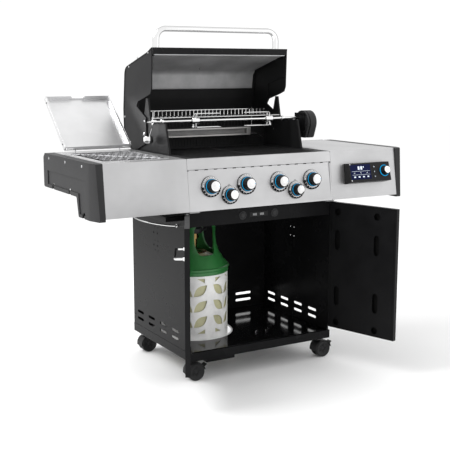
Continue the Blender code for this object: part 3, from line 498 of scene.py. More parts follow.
def dress_frame():
    plain = {CABINET: "cart_left_panel cart_right_panel cart_rear_panel cart_header cylinder_tray",
        DOOR_BLACK: "door_left door_right motor_bracket", FLOOR_BLACK: "cart_floor", LINER: "lid_liner",
        STEEL_DULL: "main_burners heat_plates gas_manifold grease_tray side_burner", STEEL: "control_panel",
        STEEL_SHELF: "left_shelf right_shelf", STEEL_PAINTED_LIGHT: "side_burner_lid", STEEL_LID: "lid_shell",
        IRON: "cooking_grate_left cooking_grate_right", CAST_BLACK: "firebox", BURNER: "rear_burner",
        CHROME: "spit_rod",
        PLASTIC_DARK: "controller_button_1 controller_button_2 controller_button_3 controller_housing"}
    fine = {"cart_left_panel", "cart_right_panel", "cart_rear_panel", "lid_liner", "lid_shell",
        "left_shelf", "right_shelf", "side_burner_lid", "control_panel", "heat_plates", "grease_tray",
        "spit_rod"}
    for material, names in plain.items():
        for name in names.split():
            dress(name, material, 0.0003 if name in fine else 0.0008)
    for label in ("front_left", "front_right", "rear_left", "rear_right"):
        dress(f"caster_{label}", TREAD, 0.0008)


# ---------------------------------------------------------------- gas bottle

def leaf(length, width, steps=9):
    """A pointed leaf's outline."""
    half = [(math.sin(math.pi * i / steps) * width / 2, (i / steps - 0.5) * length) for i in range(1, steps)]
    return [(0, -length / 2)] + half + [(0, length / 2)] + [(-x, y) for x, y in reversed(half)]


def radial(bm, angle, radius, z):
    """Stands mesh data that was laid out on XY, with Z outwards, on a round wall."""
    a = math.radians(angle)
    out = Vector((math.cos(a), math.sin(a), 0))
    side = Vector((-math.sin(a), math.cos(a), 0))
    frame_there = Matrix((side, Vector((0, 0, 1)), out)).transposed().to_4x4()
    bm.transform(Matrix.Translation(out * radius + Vector((0, 0, z))) @ frame_there)
    return bm


BOTTLE_STEM = 240.0
BOTTLE_RADIUS = 0.1525


def bottle_shroud(place):
    """The pale outer wall, pierced by three rows of slanted leaves and by corners above and below them."""
    r = BOTTLE_RADIUS
    wall = lathe([(r - 0.004, 0.34), (r - 0.0004, 0.34), (r, 0.338), (r, 0.022), (r + 0.0015, 0.018),
        (r + 0.0015, 0.003), (r, 0.0005), (r - 0.012, 0.0), (r - 0.012, 0.006), (r - 0.004, 0.01)], 96)
    shroud = show("bottle_shroud", wall, SHROUD, place=place)
    cutters = []
    for k in range(6):
        for side in (-1, 1):
            angle = BOTTLE_STEM + 60 * k + side * 12.6
            for row in range(3):
                one = moved(prism(leaf(0.08, 0.039), -0.02, 0.02, round_by=0), turn(-side * 50))
                cutters.append(radial(one, angle, r, 0.133 + row * 0.0705))
            for z, upward in ((0.079, 1), (0.33, -1)):
                corner = [(-0.016 * side, 0), (0.02 * side, 0), (0.02 * side, 0.02 * upward)]
                cutters.append(radial(prism(corner, -0.02, 0.02, round_by=0), angle, r, z))
    cut_away(shroud, moved(merged(*cutters), place), "leaves")


def bottle_collar(place):
    """The green collar around the valve, with four windows."""
    outer = [(0.0965, 0.587), (0.1005, 0.583), (0.1005, 0.566), (0.0965, 0.56), (0.097, 0.5),
        (0.102, 0.458), (0.113, 0.428), (0.134, 0.396), (0.149, 0.376), (0.153, 0.371), (0.159, 0.369),
        (0.16, 0.364), (0.1585, 0.3585), (0.156, 0.355), (0.1556, 0.344), (0.154, 0.3405)]
    inside = [(BOTTLE_RADIUS - 0.003, 0.3405), (0.148, 0.366), (0.13, 0.388), (0.107, 0.424),
        (0.095, 0.456), (0.09, 0.5), (0.0895, 0.587)]
    collar = show("bottle_collar", lathe(outer + inside, 96), GREEN, place=place)
    window = [(0, 0), (0.04, 0.0), (0.05, 0.05), (0.05, 0.132), (-0.05, 0.132), (-0.05, 0.05), (-0.04, 0.0),
        (0, 0)]
    windows = []
    for k in range(4):
        opening = prism(filleted(window, 0.026, 5)[:-1], -0.035, 0.05, round_by=0)
        windows.append(radial(opening, BOTTLE_STEM + 34 + 90 * k, 0.105, 0.424))
    cut_away(collar, moved(merged(*windows), place), "windows")


def gas_bottle():
    low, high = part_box("gas_cylinder")
    place = shift((low[0] + high[0]) / 2, (low[1] + high[1]) / 2, low[2])
    inner = lathe([(0, 0.428), (0.06, 0.424), (0.105, 0.4), (0.133, 0.366), (0.1455, 0.33), (0.1455, 0.036),
        (0.135, 0.018), (0, 0.012)], 64)
    bottle = show("gas_bottle", inner, CREAM, place=place)
    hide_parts("gas_cylinder")
    bottle_shroud(place)
    bottle_collar(place)
    boss = lathe([(0, 0.4305), (0.052, 0.4305), (0.056, 0.426), (0.056, 0.418), (0, 0.418)], 40)
    valve = merged(barrel((0, 0, 0.424), (0, 0, 0.49), 0.014, 24),
        barrel((0, 0, 0.486), (0, 0, 0.52), 0.021, 12),
        barrel((-0.05, 0, 0.462), (0.0, 0, 0.462), 0.01, 20), boss)
    show("bottle_valve", valve, BRASS, place=place)
    drum = lathe([(0, 0.543), (0.03, 0.542), (0.04, 0.534), (0.041, 0.522), (0.036, 0.512), (0.012, 0.508),
        (0, 0.508)], 40)
    regulator = merged(drum, barrel((0.03, 0, 0.524), (0.062, 0, 0.524), 0.008, 16))
    show("bottle_regulator", regulator, PLASTIC, place=place)


# ---------------------------------------------------------------- knobs on the panel

def dash(inner, outer, start, end, low, high):
    """A short arc-shaped mark."""
    outline = arc((0, 0), inner, start, end, 4) + arc((0, 0), outer, end, start, 4)
    return prism(outline, low, high, round_by=0)


def fluted_cone(base, top, low, high, flutes=28, depth=0.0009):
    bm = bmesh.new()
    rings = []
    count = flutes * 4
    levels = [(base, low), (base - 0.0004, low + 0.002), (top + 0.0006, high - 0.003),
        (top - 0.0006, high - 0.0008), (top - 0.0022, high)]
    for radius, z in levels:
        ring = []
        for i in range(count):
            a = 2 * math.pi * i / count
            r = radius - depth * (0.5 + 0.5 * math.cos(a * flutes)) * (1 if z < high else 0)
            ring.append(bm.verts.new((r * math.cos(a), r * math.sin(a), z)))
        rings.append(ring)
    for lower, upper in zip(rings, rings[1:]):
        for i in range(count):
            j = (i + 1) % count
            bm.faces.new((lower[i], lower[j], upper[j], upper[i]))
    bm.faces.new(rings[-1])
    bm.faces.new(rings[0][::-1])
    return bm


LARGE_KNOB, SMALL_SCALE = 0.058, 0.88


def turned(profile, scale, steps):
    """A lathed profile with its radii scaled."""
    return lathe([(radius * scale, z) for radius, z in profile], steps)


def knob(name):
    joint = JOINTS[f"{name}_turn"]
    base = facing_frame(joint["pos_m"], joint["axis"])
    low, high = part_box(name)
    large = high[0] - low[0] > 0.9 * LARGE_KNOB
    s, rest = (1.0, 0) if large else (SMALL_SCALE, 90)
    top = 0.034

    bezel = turned([(0.0435, -0.0055), (0.0432, -0.0035), (0.0405, -0.0012), (0.0374, -0.0006),
        (0.0362, -0.0018), (0.035, -0.0034), (0.035, -0.006), (0.043, -0.007)], s, 72)
    show(f"{name}_bezel", bezel, CHROME, place=base)
    floor = turned([(0, -0.0024), (0.033, -0.0024), (0.0352, -0.0036), (0.0352, -0.0055), (0, -0.0055)], s,
        48)
    show(f"{name}_well", floor, PLASTIC_DARK, place=base)
    marks = [dash(0.0378 * s, 0.0438 * s, a - 8, a + 8, -0.006, 0.0003) for a in range(190, 352, 20)]
    marks += [dash(0.0372 * s, 0.0402 * s, a - 1.6, a + 1.6, -0.003, 0.0001) for a in range(20, 165, 12)]
    # A thin dark ring just outside the bezel: painted shadow at the bezel's edge.
    marks.append(turned([(0.0433, -0.006), (0.0444, -0.006), (0.0444, -0.0072), (0.0433, -0.0072)], s, 64))
    show(f"{name}_dial", merged(*marks), DARK, place=base)

    ring = turned([(0.0292, 0.0082), (0.0303, 0.0078), (0.0306, 0.006), (0.0292, 0.0058)], s, 64)
    blue = show(f"{name}_ring", ring, BLUE, name, base)
    skirt = turned([(0, 0.0076), (0.0291, 0.0076), (0.0291, 0.0059), (0.0312, 0.0054), (0.0318, 0.0004),
        (0.031, 0), (0, 0)], s, 64)
    body = merged(skirt, fluted_cone(0.0291 * s, 0.0246 * s, 0.0076, top))
    black = show(f"{name}_grip", body, PLASTIC_DARK, name, base)
    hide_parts(name)
    cap = turned([(0, top + 0.0024), (0.012, top + 0.0022), (0.019, top + 0.0012), (0.021, top),
        (0.021, top - 0.001), (0, top - 0.001)], s, 56)
    show(f"{name}_cap", cap, CAP, name, base)
    dot = lathe([(0, 0.0006), (0.0018, 0.0004), (0.0022, -0.001), (0, -0.001)], 16)
    where = turn(rest) @ shift(0.0165 * s, 0, top + 0.0016)
    show(f"{name}_dot", dot, BLUE, name, base @ where)


def fascia_trim():
    """The vents under the panel's ledge, drawn as dark capsules of painted shade, the printed marks, and the
    seams beside the panel, drawn as dark strips of painted shade.
    """
    # The vents are dark capsules laid on the ledge: painted shade in place of open slots.
    vents = []
    ledge = facing_frame(at(0, -0.2666, 0.9072), (0, -0.894, -0.447))
    for i in range(15):
        slot_there = prism(capsule(0.017, 0.005), 0.0, 0.0009, round_by=0)
        vents.append(moved(slot_there, ledge @ shift(-0.315 + 0.045 * i, 0, 0)))
    show("panel_vents", merged(*vents), DARK, place=ROW)
    marks = []
    for x, z in ((-0.255, 0.894), (-0.083, 0.894), (0.083, 0.894), (0.255, 0.894)):
        for i, width in enumerate((0.01, 0.016, 0.01)):
            low = (-width / 2, -0.004 + i * 0.004, -0.0128)
            bar = block(low, (width / 2, low[1] + 0.0016, -0.0122), 0)
            marks.append(moved(bar, fascia_frame(x, z)))
    for x in (-0.167, 0.167):
        for i, width in enumerate((0.014, 0.008)):
            bar = block((-width / 2, i * 0.005, -0.003), (width / 2, i * 0.005 + 0.0016, -0.0024), 0)
            marks.append(moved(bar, fascia_frame(x, 0.836)))
    for side in (-1, 1):
        wall = prism([(-0.2645, 0.911), (-0.274, 0.903), (-0.2925, 0.748), (-0.2685, 0.903)], side * 0.3545,
            side * 0.36, "YZ", 0)
        show(f"panel_cheek_{'left' if side < 0 else 'right'}", wall, STEEL)
    show("panel_marks", merged(*marks), DARK, place=ROW)
    # Dark strips at the panel's sides: painted shade standing in for the narrow gaps there.
    seams = []
    for side in (-1, 1):
        xs = (side * 0.3602, side * 0.3618)
        seams.append(slab(xs, (-0.2663, -0.264), (0.74, 0.9555)))
        seams.append(slab(xs, (-0.2656, 0.236), (0.9553, 0.9564)))
    show("panel_seams", merged(*seams), DARK)


# ---------------------------------------------------------------- controller

def readout(left, right, face):
    """Plain bars on the display, in place of its figures."""
    marks = []

    def bar(x, y, width, height, slant=0.0):
        one = block((-width / 2, -height / 2, 0.001), (width / 2, height / 2, 0.0015), 0)
        marks.append(moved(one, shift(x, y, 0) @ turn(slant)))

    middle = (left + right) / 2
    bar(middle - 0.01, 0.018, 0.0095, 0.015)
    bar(middle + 0.005, 0.018, 0.0095, 0.015)
    bar(middle + 0.017, 0.022, 0.005, 0.006)
    bar(middle, 0.0035, 0.1, 0.0009)
    for i in range(3):
        bar(left + 0.02 + i * 0.036, -0.0045, 0.0085, 0.0016, 24 * (-1) ** i)
    bar(middle, -0.0125, 0.1, 0.0009)
    for i in range(4):
        bar(left + 0.02 + i * 0.025, -0.0225, 0.01, 0.006)
    show("controller_readout", merged(*marks), LIT, place=face)


def controller():
    joint = JOINTS["controller_knob_turn"]
    face = facing_frame(joint["pos_m"], joint["axis"])
    low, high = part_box("controller_housing")
    knob_x = joint["pos_m"][0]
    left, right = low[0] - knob_x, high[0] - knob_x
    corner = 0.014
    outline = [(left + 0.002, -0.0425), (right - corner, -0.0425), (right - 0.002, -0.03),
        (right - 0.002, 0.028), (right - corner, 0.0405), (left + 0.002, 0.0405)]
    show("controller_face", prism(outline, -0.0035, 0.0006, round_by=0.0012), PLASTIC_DARK,
        place=face)
    screen_left, screen_right = 0.44 - knob_x, 0.554 - knob_x
    glass = corners((screen_left, -0.034), (screen_right, 0.034))
    show("controller_screen", prism(glass, -0.001, 0.0011, round_by=0.0004), SCREEN, place=face)
    readout(screen_left, screen_right, face)
    for number in (1, 2, 3):
        b_low, b_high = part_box(f"controller_button_{number}")
        centre = Vector(((b_low[0] + b_high[0]) / 2, b_low[1], b_high[2]))
        here = face.inverted() @ centre
        icon = dash(0.0018, 0.003, 20, 330, 0.0, 0.0006)
        spot = face @ shift(here.x, here.y - 0.0062, here.z + 0.0002)
        show(f"controller_icon_{number}", icon, LIT, f"controller_button_{number}", spot)
    ring = lathe([(0.0232, 0.0024), (0.0262, 0.002), (0.0264, 0.0004), (0.023, 0.0004)], 64)
    show("controller_ring", ring, BLUE, place=face)
    body = merged(lathe([(0, 0.003), (0.0225, 0.003), (0.0228, 0.0012), (0, 0.0012)], 48),
        fluted_cone(0.0222, 0.0178, 0.003, 0.0235, 24, 0.0008))
    black = show("controller_dial", body, PLASTIC_DARK, "controller_knob", face)
    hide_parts("controller_knob")
    cap = lathe([(0, 0.0258), (0.009, 0.0256), (0.0148, 0.0246), (0.016, 0.0233), (0, 0.0233)], 40)
    show("controller_cap", cap, CAP, "controller_knob", face)
    spots = [face @ shift(left + 0.007, y, 0.0002) for y in (0.036, -0.038)]
    show("controller_screws", screws(0.0035, 0.0015, spots), ZINC, place=ROW)


# ---------------------------------------------------------------- shelves and their end caps

CAP_POCKET = [(-0.012, -0.01), (0.012, -0.01), (0.01, 0.016), (0.005, 0.024), (-0.005, 0.024), (-0.01, 0.016)]


def end_cap(side):
    """A moulded end cap: a slanted front corner, a stepped lower edge and a sunk side panel."""
    name = "left_end_cap" if side < 0 else "right_end_cap"
    low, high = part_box(name)
    inner, outer = (high[0], low[0]) if side < 0 else (low[0], high[0])
    front, rear = low[1] + 0.0006, high[1] - 0.0006
    top, floor_front, floor_back = high[2] - 0.0006, low[2] + 0.0006, 0.8085
    step = at(0, -0.104, 0).y
    outline = [(front, floor_front + 0.004), (front + 0.004, floor_front), (step - 0.01, floor_front),
        (step - 0.006, floor_front + 0.006), (step + 0.01, floor_back - 0.004), (step + 0.016, floor_back),
        (rear - 0.006, floor_back), (rear, floor_back + 0.006), (rear, top - 0.018), (rear - 0.018, top),
        (front + 0.028, top), (front + 0.022, top - 0.003)]
    outer -= side * 0.0015
    body = show(name + "_moulding", prism(outline, *sorted((inner, outer)), "YZ", 0), PLASTIC, place=ROW)

    def sink(shape, near, far, label):
        cut_away(body, prism(shape, *sorted((near, far)), "YZ", 0), label)

    hollow = [(step - 0.13, floor_front + 0.0035), (step - 0.014, floor_front + 0.0035),
        (step + 0.008, floor_back + 0.0035), (rear - 0.009, floor_back + 0.0035),
        (rear - 0.0035, floor_back + 0.01), (rear - 0.0035, top - 0.02), (rear - 0.02, top - 0.0035),
        (step - 0.13, top - 0.0035)]
    sink(hollow, inner - side * 0.01, outer - side * 0.0045, "hollow")
    slant = prism([(outer - side * 0.019, front - 0.001), (outer + side * 0.02, front - 0.001),
        (outer + side * 0.02, front + 0.064), (outer + side * 0.0001, front + 0.064)][::side],
        floor_front - 0.02, top + 0.02, round_by=0)
    cut_away(body, slant, "corner")
    sunk = [(step + 0.03, 0.8245), (rear - 0.05, 0.8245), (rear - 0.05, 0.884), (step - 0.085, 0.884),
        (step - 0.085, 0.742), (step - 0.02, 0.742), (step - 0.01, 0.8245)]
    sink(sunk, outer + side * 0.01, outer - side * 0.004, "sunk")
    pocket_shade = []
    for i, (y, z) in enumerate(((0.185, floor_back), (-0.015, floor_back), (-0.165, floor_front))):
        middle = at(0, y, 0).y
        sink([(middle + across, z + up) for across, up in CAP_POCKET], outer + side * 0.01,
            outer - side * 0.01, f"notch_{i}")
        # A darker plate at the back of each pocket: painted shade in the recess.
        pocket_shade.append(slab((outer - side * 0.01, outer - side * 0.0135), (middle - 0.014, middle + 0.014),
            (z, z + 0.028)))
    show(name + "_pockets", merged(*pocket_shade), PLASTIC_DARK, place=ROW)
    bevel = body.modifiers.new("Round", "BEVEL")
    bevel.width = 0.0018
    bevel.segments = 3
    bevel.limit_method = "ANGLE"
    bevel.angle_limit = math.radians(30)
    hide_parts(name)
    spots = [side_frame((outer - side * 0.001, at(0, y, 0).y, 0.938), side) for y in (0.23, 0.03, -0.16)]
    show(name + "_screws", screws(0.0062, 0.0022, spots), ZINC, place=ROW)


def shelf_trim():
    """The dark strip along the right shelf's rear edge, the left shelf's bracket and the tool rail's ends."""
    rear = prism([(0.2925, 0.9563), (0.3005, 0.9563), (0.3025, 0.9495), (0.3025, 0.93), (0.3005, 0.93),
        (0.3005, 0.954), (0.2925, 0.9557)], 0.363, 0.73, "YZ", 0)
    show("right_shelf_strip", rear, PLASTIC_DARK)
    parts = [block((-0.45, -0.25, 0.719), (-0.3635, 0.27, 0.721), 0.0005),
        block((-0.45, -0.25, 0.698), (-0.448, 0.27, 0.721), 0.0005),
        block((-0.3655, -0.25, 0.67), (-0.3635, -0.185, 0.721), 0.0005),
        block((-0.45, -0.25, 0.7), (-0.3635, -0.248, 0.721), 0.0005)]
    show("left_shelf_bracket", merged(*parts), DOOR_BLACK)
    ends = []
    for y in (0.225, -0.182):
        ends.append(lathe([(0, 0.0045), (0.0075, 0.004), (0.0085, 0.0008), (0.0085, 0), (0, 0)], 24))
        ends[-1].transform(side_frame((-0.3628, y, 0.668), -1))
    show("tool_rail_ends", merged(*ends), ZINC)


def tool_rail():
    low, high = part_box("tool_rail")
    y_rear, y_front, z = high[1] - 0.004, low[1] + 0.004, (low[2] + high[2]) / 2
    bow = high[0] - low[0] - 0.014
    path = [Vector((-0.3632, y_rear, z))]
    for i in range(25):
        t = i / 24
        path.append(Vector((-0.3725 - bow * math.sin(math.pi * t) ** 0.7, y_rear + (y_front - y_rear) * t,
            z)))
    path.append(Vector((-0.3632, y_front, z)))
    rail = show("tool_rail_wire", tube(path, 0.0038, 12), CHROME, place=ROW)
    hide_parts("tool_rail")


# ---------------------------------------------------------------- side burner

def side_grate():
    """The side burner's grate: a frame of rod, wavy rods and two straight ones under them."""
    low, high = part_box("side_burner_grate")
    z = (low[2] + high[2]) / 2
    inset = 0.006
    ring = [(x, y, z) for x, y in corners(low, high, inset)]
    frame_path = filleted(ring + ring[:1], 0.02, 5)[1:-1]
    pieces = [tube(frame_path, 0.003, 10, True)]
    count = 14
    for i in range(count):
        x = low[0] + 0.022 + (high[0] - low[0] - 0.044) * i / (count - 1)
        path = []
        for k in range(41):
            y = low[1] + inset + (high[1] - low[1] - 2 * inset) * k / 40
            wave = 0.0045 * math.sin(k / 40 * math.pi * 10 + (i % 2) * math.pi)
            path.append((x + wave, y, z + 0.0006))
        pieces.append(tube(path, 0.0022, 8))
    for y in (low[1] + 0.12, high[1] - 0.12):
        pieces.append(tube([(low[0] + inset, y, z - 0.002), (high[0] - inset, y, z - 0.002)], 0.0024, 8))
    grate = show("side_grate_rods", merged(*pieces), ROD, place=ROW)
    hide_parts("side_burner_grate")


def burner_pan():
    """The side burner's ports, drawn as dark marks of painted shade in place of holes, its cap, and the rim
    around its pan.
    """
    low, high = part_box("side_burner")
    centre = ((low[0] + high[0]) / 2, (low[1] + high[1]) / 2)
    ports = []
    for i in range(24):
        spot = radial(block((-0.0012, -0.004, -0.0002), (0.0012, 0.004, 0.0006), 0), i * 15, 0.0452, 0.918)
        ports.append(moved(spot, shift(*centre, 0)))
    show("side_burner_ports", merged(*ports), DARK, place=ROW)
    cap = lathe([(0, 0.9355), (0.03, 0.935), (0.041, 0.9325), (0.0435, 0.9305), (0, 0.9305)], 48)
    show("side_burner_cap", cap, CAST_BLACK, place=shift(*centre, 0))
    lip = prism(corners(low, high, -0.007), 0.9561, 0.9573, round_by=0)
    rim = show("side_burner_rim", lip, STEEL_PAINTED_LIGHT, place=ROW)
    hole = prism(corners(low, high, 0.002), 0.94, 0.97, round_by=0)
    cut_away(rim, hole, "rim_hole")


def side_lid_trim():
    """The lid's turned-in hem and end screws, and the fixed brackets that carry it."""
    place = closed_frame("side_burner_lid_hinge")
    local = hinge_frame("side_burner_lid_hinge", 0)
    low, high = -0.156, 0.156
    hems = [block((low + 0.0012, -0.319, -0.0118), (low + 0.009, -0.006, -0.0108), 0),
        block((high - 0.009, -0.319, -0.0118), (high - 0.0012, -0.006, -0.0108), 0),
        block((low + 0.0012, -0.0085, -0.0118), (high - 0.0012, -0.0034, -0.0108), 0)]
    show("side_lid_hem", merged(*hems), STEEL_PAINTED_LIGHT, "side_burner_lid", place)
    spots = [place @ side_frame((side * 0.1562, y, -0.002), side) for side in (-1, 1) for y in (-0.03, -0.29)]
    plates = []
    for inner in (-0.104, 0.104):
        plates.append(prism([(0.0008, -0.0178), (0.012, -0.0178), (0.0105, 0.003), (0.006, 0.0062),
            (0.0008, 0.0062)], inner - 0.0008, inner + 0.0008, "YZ", 0))
        plates.append(block((inner - 0.008, 0.0008, -0.0182), (inner + 0.008, 0.02, -0.0168), 0.0003))
    show("side_lid_screws", screws(0.0034, 0.0016, spots), DARK, "side_burner_lid", ROW)
    show("side_lid_brackets", merged(*plates), ZINC, place=local)


# ---------------------------------------------------------------- firebox, racks and burners

def warming_rack():
    low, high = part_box("warming_rack")
    left, right, front, rear = low[0], high[0], low[1] + 0.002, high[1] - 0.002
    level, top = low[2] + 0.002, high[2] - 0.002
    pieces = [tube([(left, front, level), (right, front, level)], 0.0028, 8),
        tube([(left, rear, level - 0.0005), (right, rear, level - 0.0005)], 0.0024, 8),
        tube([(left + 0.03, rear, top), (right - 0.03, rear, top)], 0.0024, 8),
        tube([(left, (front + rear) / 2, level - 0.0005), (right, (front + rear) / 2, level - 0.0005)],
        0.0022, 8)]
    count = 31
    for i in range(count):
        x = left + 0.034 + (right - left - 0.068) * i / (count - 1)
        path = filleted([(x, front, level + 0.001), (x, rear - 0.002, level + 0.001),
            (x, rear - 0.002, top)], 0.008, 3)
        pieces.append(tube(path, 0.0016, 8))
    rack = show("warming_rack_wires", merged(*pieces), CHROME, place=ROW)
    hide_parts("warming_rack")


def burner_details():
    low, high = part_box("rear_burner")
    face = block((low[0] + 0.011, low[1] + 0.02, low[2] + 0.008),
        (high[0] - 0.022, low[1] + 0.023, high[2] - 0.008), 0)
    show("rear_burner_tile", face, CERAMIC, place=ROW)
    mesh_lines = []
    for i in range(60):
        x = low[0] + 0.014 + (high[0] - low[0] - 0.04) * i / 59
        mesh_lines.append(block((x, low[1] + 0.0185, low[2] + 0.008),
            (x + 0.001, low[1] + 0.0197, high[2] - 0.008), 0))
    for i in range(4):
        z = low[2] + 0.011 + i * 0.0055
        mesh_lines.append(block((low[0] + 0.012, low[1] + 0.0178, z),
            (high[0] - 0.022, low[1] + 0.0186, z + 0.0009), 0))
    show("rear_burner_mesh", merged(*mesh_lines), STEEL_DULL, place=ROW)
    igniter = merged(barrel((0.236, 0.232, 1.012), (0.29, 0.238, 1.008), 0.0035, 12),
        barrel((0.29, 0.238, 1.008), (0.325, 0.2415, 0.992), 0.0022, 10))
    show("rear_burner_igniter", igniter, ZINC)
    # Small dark discs along the burner tubes: painted shade in place of port holes.
    ports = []
    for x in (-0.225, -0.075, 0.075, 0.225):
        for i in range(30):
            y = -0.185 + i * 0.011
            for side in (-1, 1):
                hole = lathe([(0, 0.0004), (0.0014, 0.0003), (0.0015, -0.0005), (0, -0.0005)], 8)
                a = math.radians(90 - side * 42)
                out = Vector((math.cos(a), 0, math.sin(a)))
                spot = Vector((x, y, 0.835)) + out * 0.0139
                ports.append(moved(hole, facing_frame(spot, out, (0, 1, 0))))
    show("main_burner_ports", merged(*ports), DARK)


def firebox_details():
    """The raised ribs on the wings and the rear wall."""
    ribs = []
    for side in (-1, 1):
        edge = [(-0.076, 0.957), (-0.07, 0.975), (-0.037, 1.0875), (-0.03, 1.0875), (-0.062, 0.975),
            (-0.066, 0.957)]
        ribs.append(prism(edge, *sorted((side * 0.335, side * 0.3458)), "YZ", 0.0008))
    show("wing_ribs", merged(*ribs), CAST_BLACK)
    grooves = [block((-0.322 + 0.0155 * i, 0.2405, 0.962), (-0.318 + 0.0155 * i, 0.2432, 0.998), 0.0004)
        for i in range(42)]
    show("rear_wall_ribs", merged(*grooves), CAST_BLACK)


# ---------------------------------------------------------------- lid

LID = closed_frame("lid_hinge")
LID_PANEL_LOW, LID_PANEL_HIGH = (-0.362, -0.036), (-0.286, 0.211)
LID_RIM = [(-0.381, -0.074), LID_PANEL_LOW, LID_PANEL_HIGH, (-0.094, 0.2265), (0.018, 0.219),
    (0.089, 0.138), (0.087, 0.1)]
LID_INNER, LID_OUTER = 0.3466, 0.352
LID_CURVE = filleted(LID_RIM[::-1], 0.045, 8)


def lid_outline():
    """The lid end's outline, with the same fillets as the skin and the same lower edge as the casting."""
    lower = [(-0.207, -0.074), (-0.183, -0.063), (-0.168, -0.024), (-0.14, 0.067), (-0.117, 0.084),
        (-0.072, -0.016), (0.04, -0.024)]
    return LID_CURVE + lower


def lid_end(side):
    name = "lid_end_left" if side < 0 else "lid_end_right"
    inner, outer = side * LID_INNER, side * LID_OUTER
    casting = prism(lid_outline(), *sorted((inner, outer)), "YZ", 0.0012, 2)
    body = show(name + "_casting", casting, LID_BLACK, "lid", LID)
    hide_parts(name)
    pin = merged(barrel((side * 0.335, 0, 0), (side * 0.355, 0, 0), 0.005, 20),
        moved(lathe([(0, 0.003), (0.006, 0.0026), (0.008, 0.0005), (0.008, 0), (0, 0)], 24),
        side_frame((outer, 0, 0), side)))
    show(name + "_pin", pin, ZINC, "lid", LID)
    bead = [Vector((side * 0.3522, y * 0.985 - 0.0015, z * 0.985 + 0.001)) for y, z in LID_CURVE]
    show(name + "_bead", tube(bead, 0.0024, 8), LID_BLACK, "lid", LID)
    spots = [side_frame((side * LID_OUTER, y, z), side)
        for y, z in ((-0.358, -0.038), (-0.333, 0.072), (-0.29, 0.166), (-0.06, 0.212), (0.052, 0.15),
        (-0.057, -0.002))]
    show(name + "_screws", screws(0.005, 0.0022, spots), ZINC, "lid", LID)
    inside = [(-0.345, -0.06), (-0.277, 0.178), (-0.1, 0.204), (-0.1, 0.075), (-0.215, 0.07), (-0.252, -0.06)]
    rib = prism(inside, *sorted((side * 0.3435, inner)), "YZ", 0.0008)
    show(name + "_inner_rib", rib, CAST_BLACK, "lid", LID)


def bent(profile, x0, x1, thickness):
    """A sheet that follows a (y, z) profile, with its thickness on one side."""
    points = [Vector(p) for p in profile]
    back = []
    for i, here in enumerate(points):
        before, after = points[max(i - 1, 0)], points[min(i + 1, len(points) - 1)]
        along = (after - before).normalized()
        back.append(here + Vector((-along.y, along.x)) * thickness)
    outline = [tuple(p) for p in points] + [tuple(p) for p in reversed(back)]
    return prism(outline, x0, x1, "YZ", 0)


def lid_inside():
    """The rear panel with its louvres, the rail along the rim, and the liner's edge, end seals and seam."""
    profile = filleted([(-0.182, 0.1965), (-0.14, 0.2005), (-0.06, 0.212), (0.012, 0.206), (0.076, 0.134),
        (0.078, 0.104)], 0.04, 5)
    panel = bent(profile, -0.335, 0.335, -0.0015)
    lip = block((-0.335, -0.1845, 0.186), (0.335, -0.1815, 0.198), 0.0006)
    show("lid_rear_panel", merged(panel, lip), CAST_BLACK, "lid", LID)
    louvres = []
    for i in range(34):
        x = -0.315 + i * 0.0191
        louvres.append(moved(block((-0.0022, -0.042, -0.0045), (0.0022, 0.042, 0.0), 0.0008),
            shift(x, 0.041, 0.1705) @ turn(-48, "X")))
        louvres.append(moved(block((-0.0022, -0.026, -0.004), (0.0022, 0.026, 0.0), 0.0008),
            shift(x, -0.03, 0.2085)))
    # The louvres take a lighter grey than the black panel they stand on: painted light on the ribs.
    show("lid_louvres", merged(*louvres), PLASTIC, "lid", LID)
    rail = block((-0.3455, -0.38, -0.0768), (0.3455, -0.352, -0.075), 0.0005)
    show("lid_rim_rail", rail, LID_BLACK, "lid", LID)
    spots = [facing_frame((x, -0.367, -0.0768), (0, 0, -1), (-1, 0, 0))
        for x in (-0.3, -0.15, 0.0, 0.15, 0.3)]
    show("lid_rim_screws", screws(0.0036, 0.0014, spots), PLASTIC_DARK, "lid", LID)
    edge = bent([(-0.349, -0.0735), (-0.346, -0.06)], -0.338, 0.338, 0.0025)
    line = [(-0.14, 0.208), (-0.27, 0.194), (-0.343, -0.04), (-0.349, -0.066)]
    seals = [bent(line, *sorted((side * 0.3325, side * 0.3464)), 0.003) for side in (-1, 1)]
    show("liner_end_seals", merged(*seals), CAST_BLACK, "lid", LID)
    # The liner's edge takes a painted highlight: a light copy of the liner steel.
    show("liner_edge", edge, LINER_EDGE_HIGHLIGHT, "lid", LID)
    seam = block((-0.333, -0.2705, 0.1905), (0.333, -0.268, 0.1925), 0.0004)
    show("liner_seam", seam, STEEL_DULL, "lid", LID)


def lid_handle():
    low, bar, up, reach = -0.356, -0.461, -0.033, 0.315
    path = filleted([(-reach, low, up), (-reach, bar, up), (reach, bar, up), (reach, low, up)], 0.062, 12)
    bar_there = tube(path, 0.0123, 24)
    outer, span = reach + 0.0123, 0.062
    for vertex in bar_there.verts:
        depth = outer - abs(vertex.co.x)
        if depth < span:
            vertex.co.x = math.copysign(outer - depth * (1 + 0.45 * (1 - depth / span)), vertex.co.x)
    handle = show("lid_handle_tube", bar_there, CHROME, "lid", LID)
    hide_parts("lid_handle")
    feet = []
    for x in (-reach, reach):
        foot = lathe([(0.015, 0.016), (0.0185, 0.015), (0.02, 0.012), (0.0215, 0.004), (0.0225, 0.0),
            (0.015, 0.0)], 40)
        feet.append(moved(foot, facing_frame((x, -0.3625, -0.033), (0, -1, 0))))
    show("lid_handle_feet", merged(*feet), CHROME, "lid", LID)


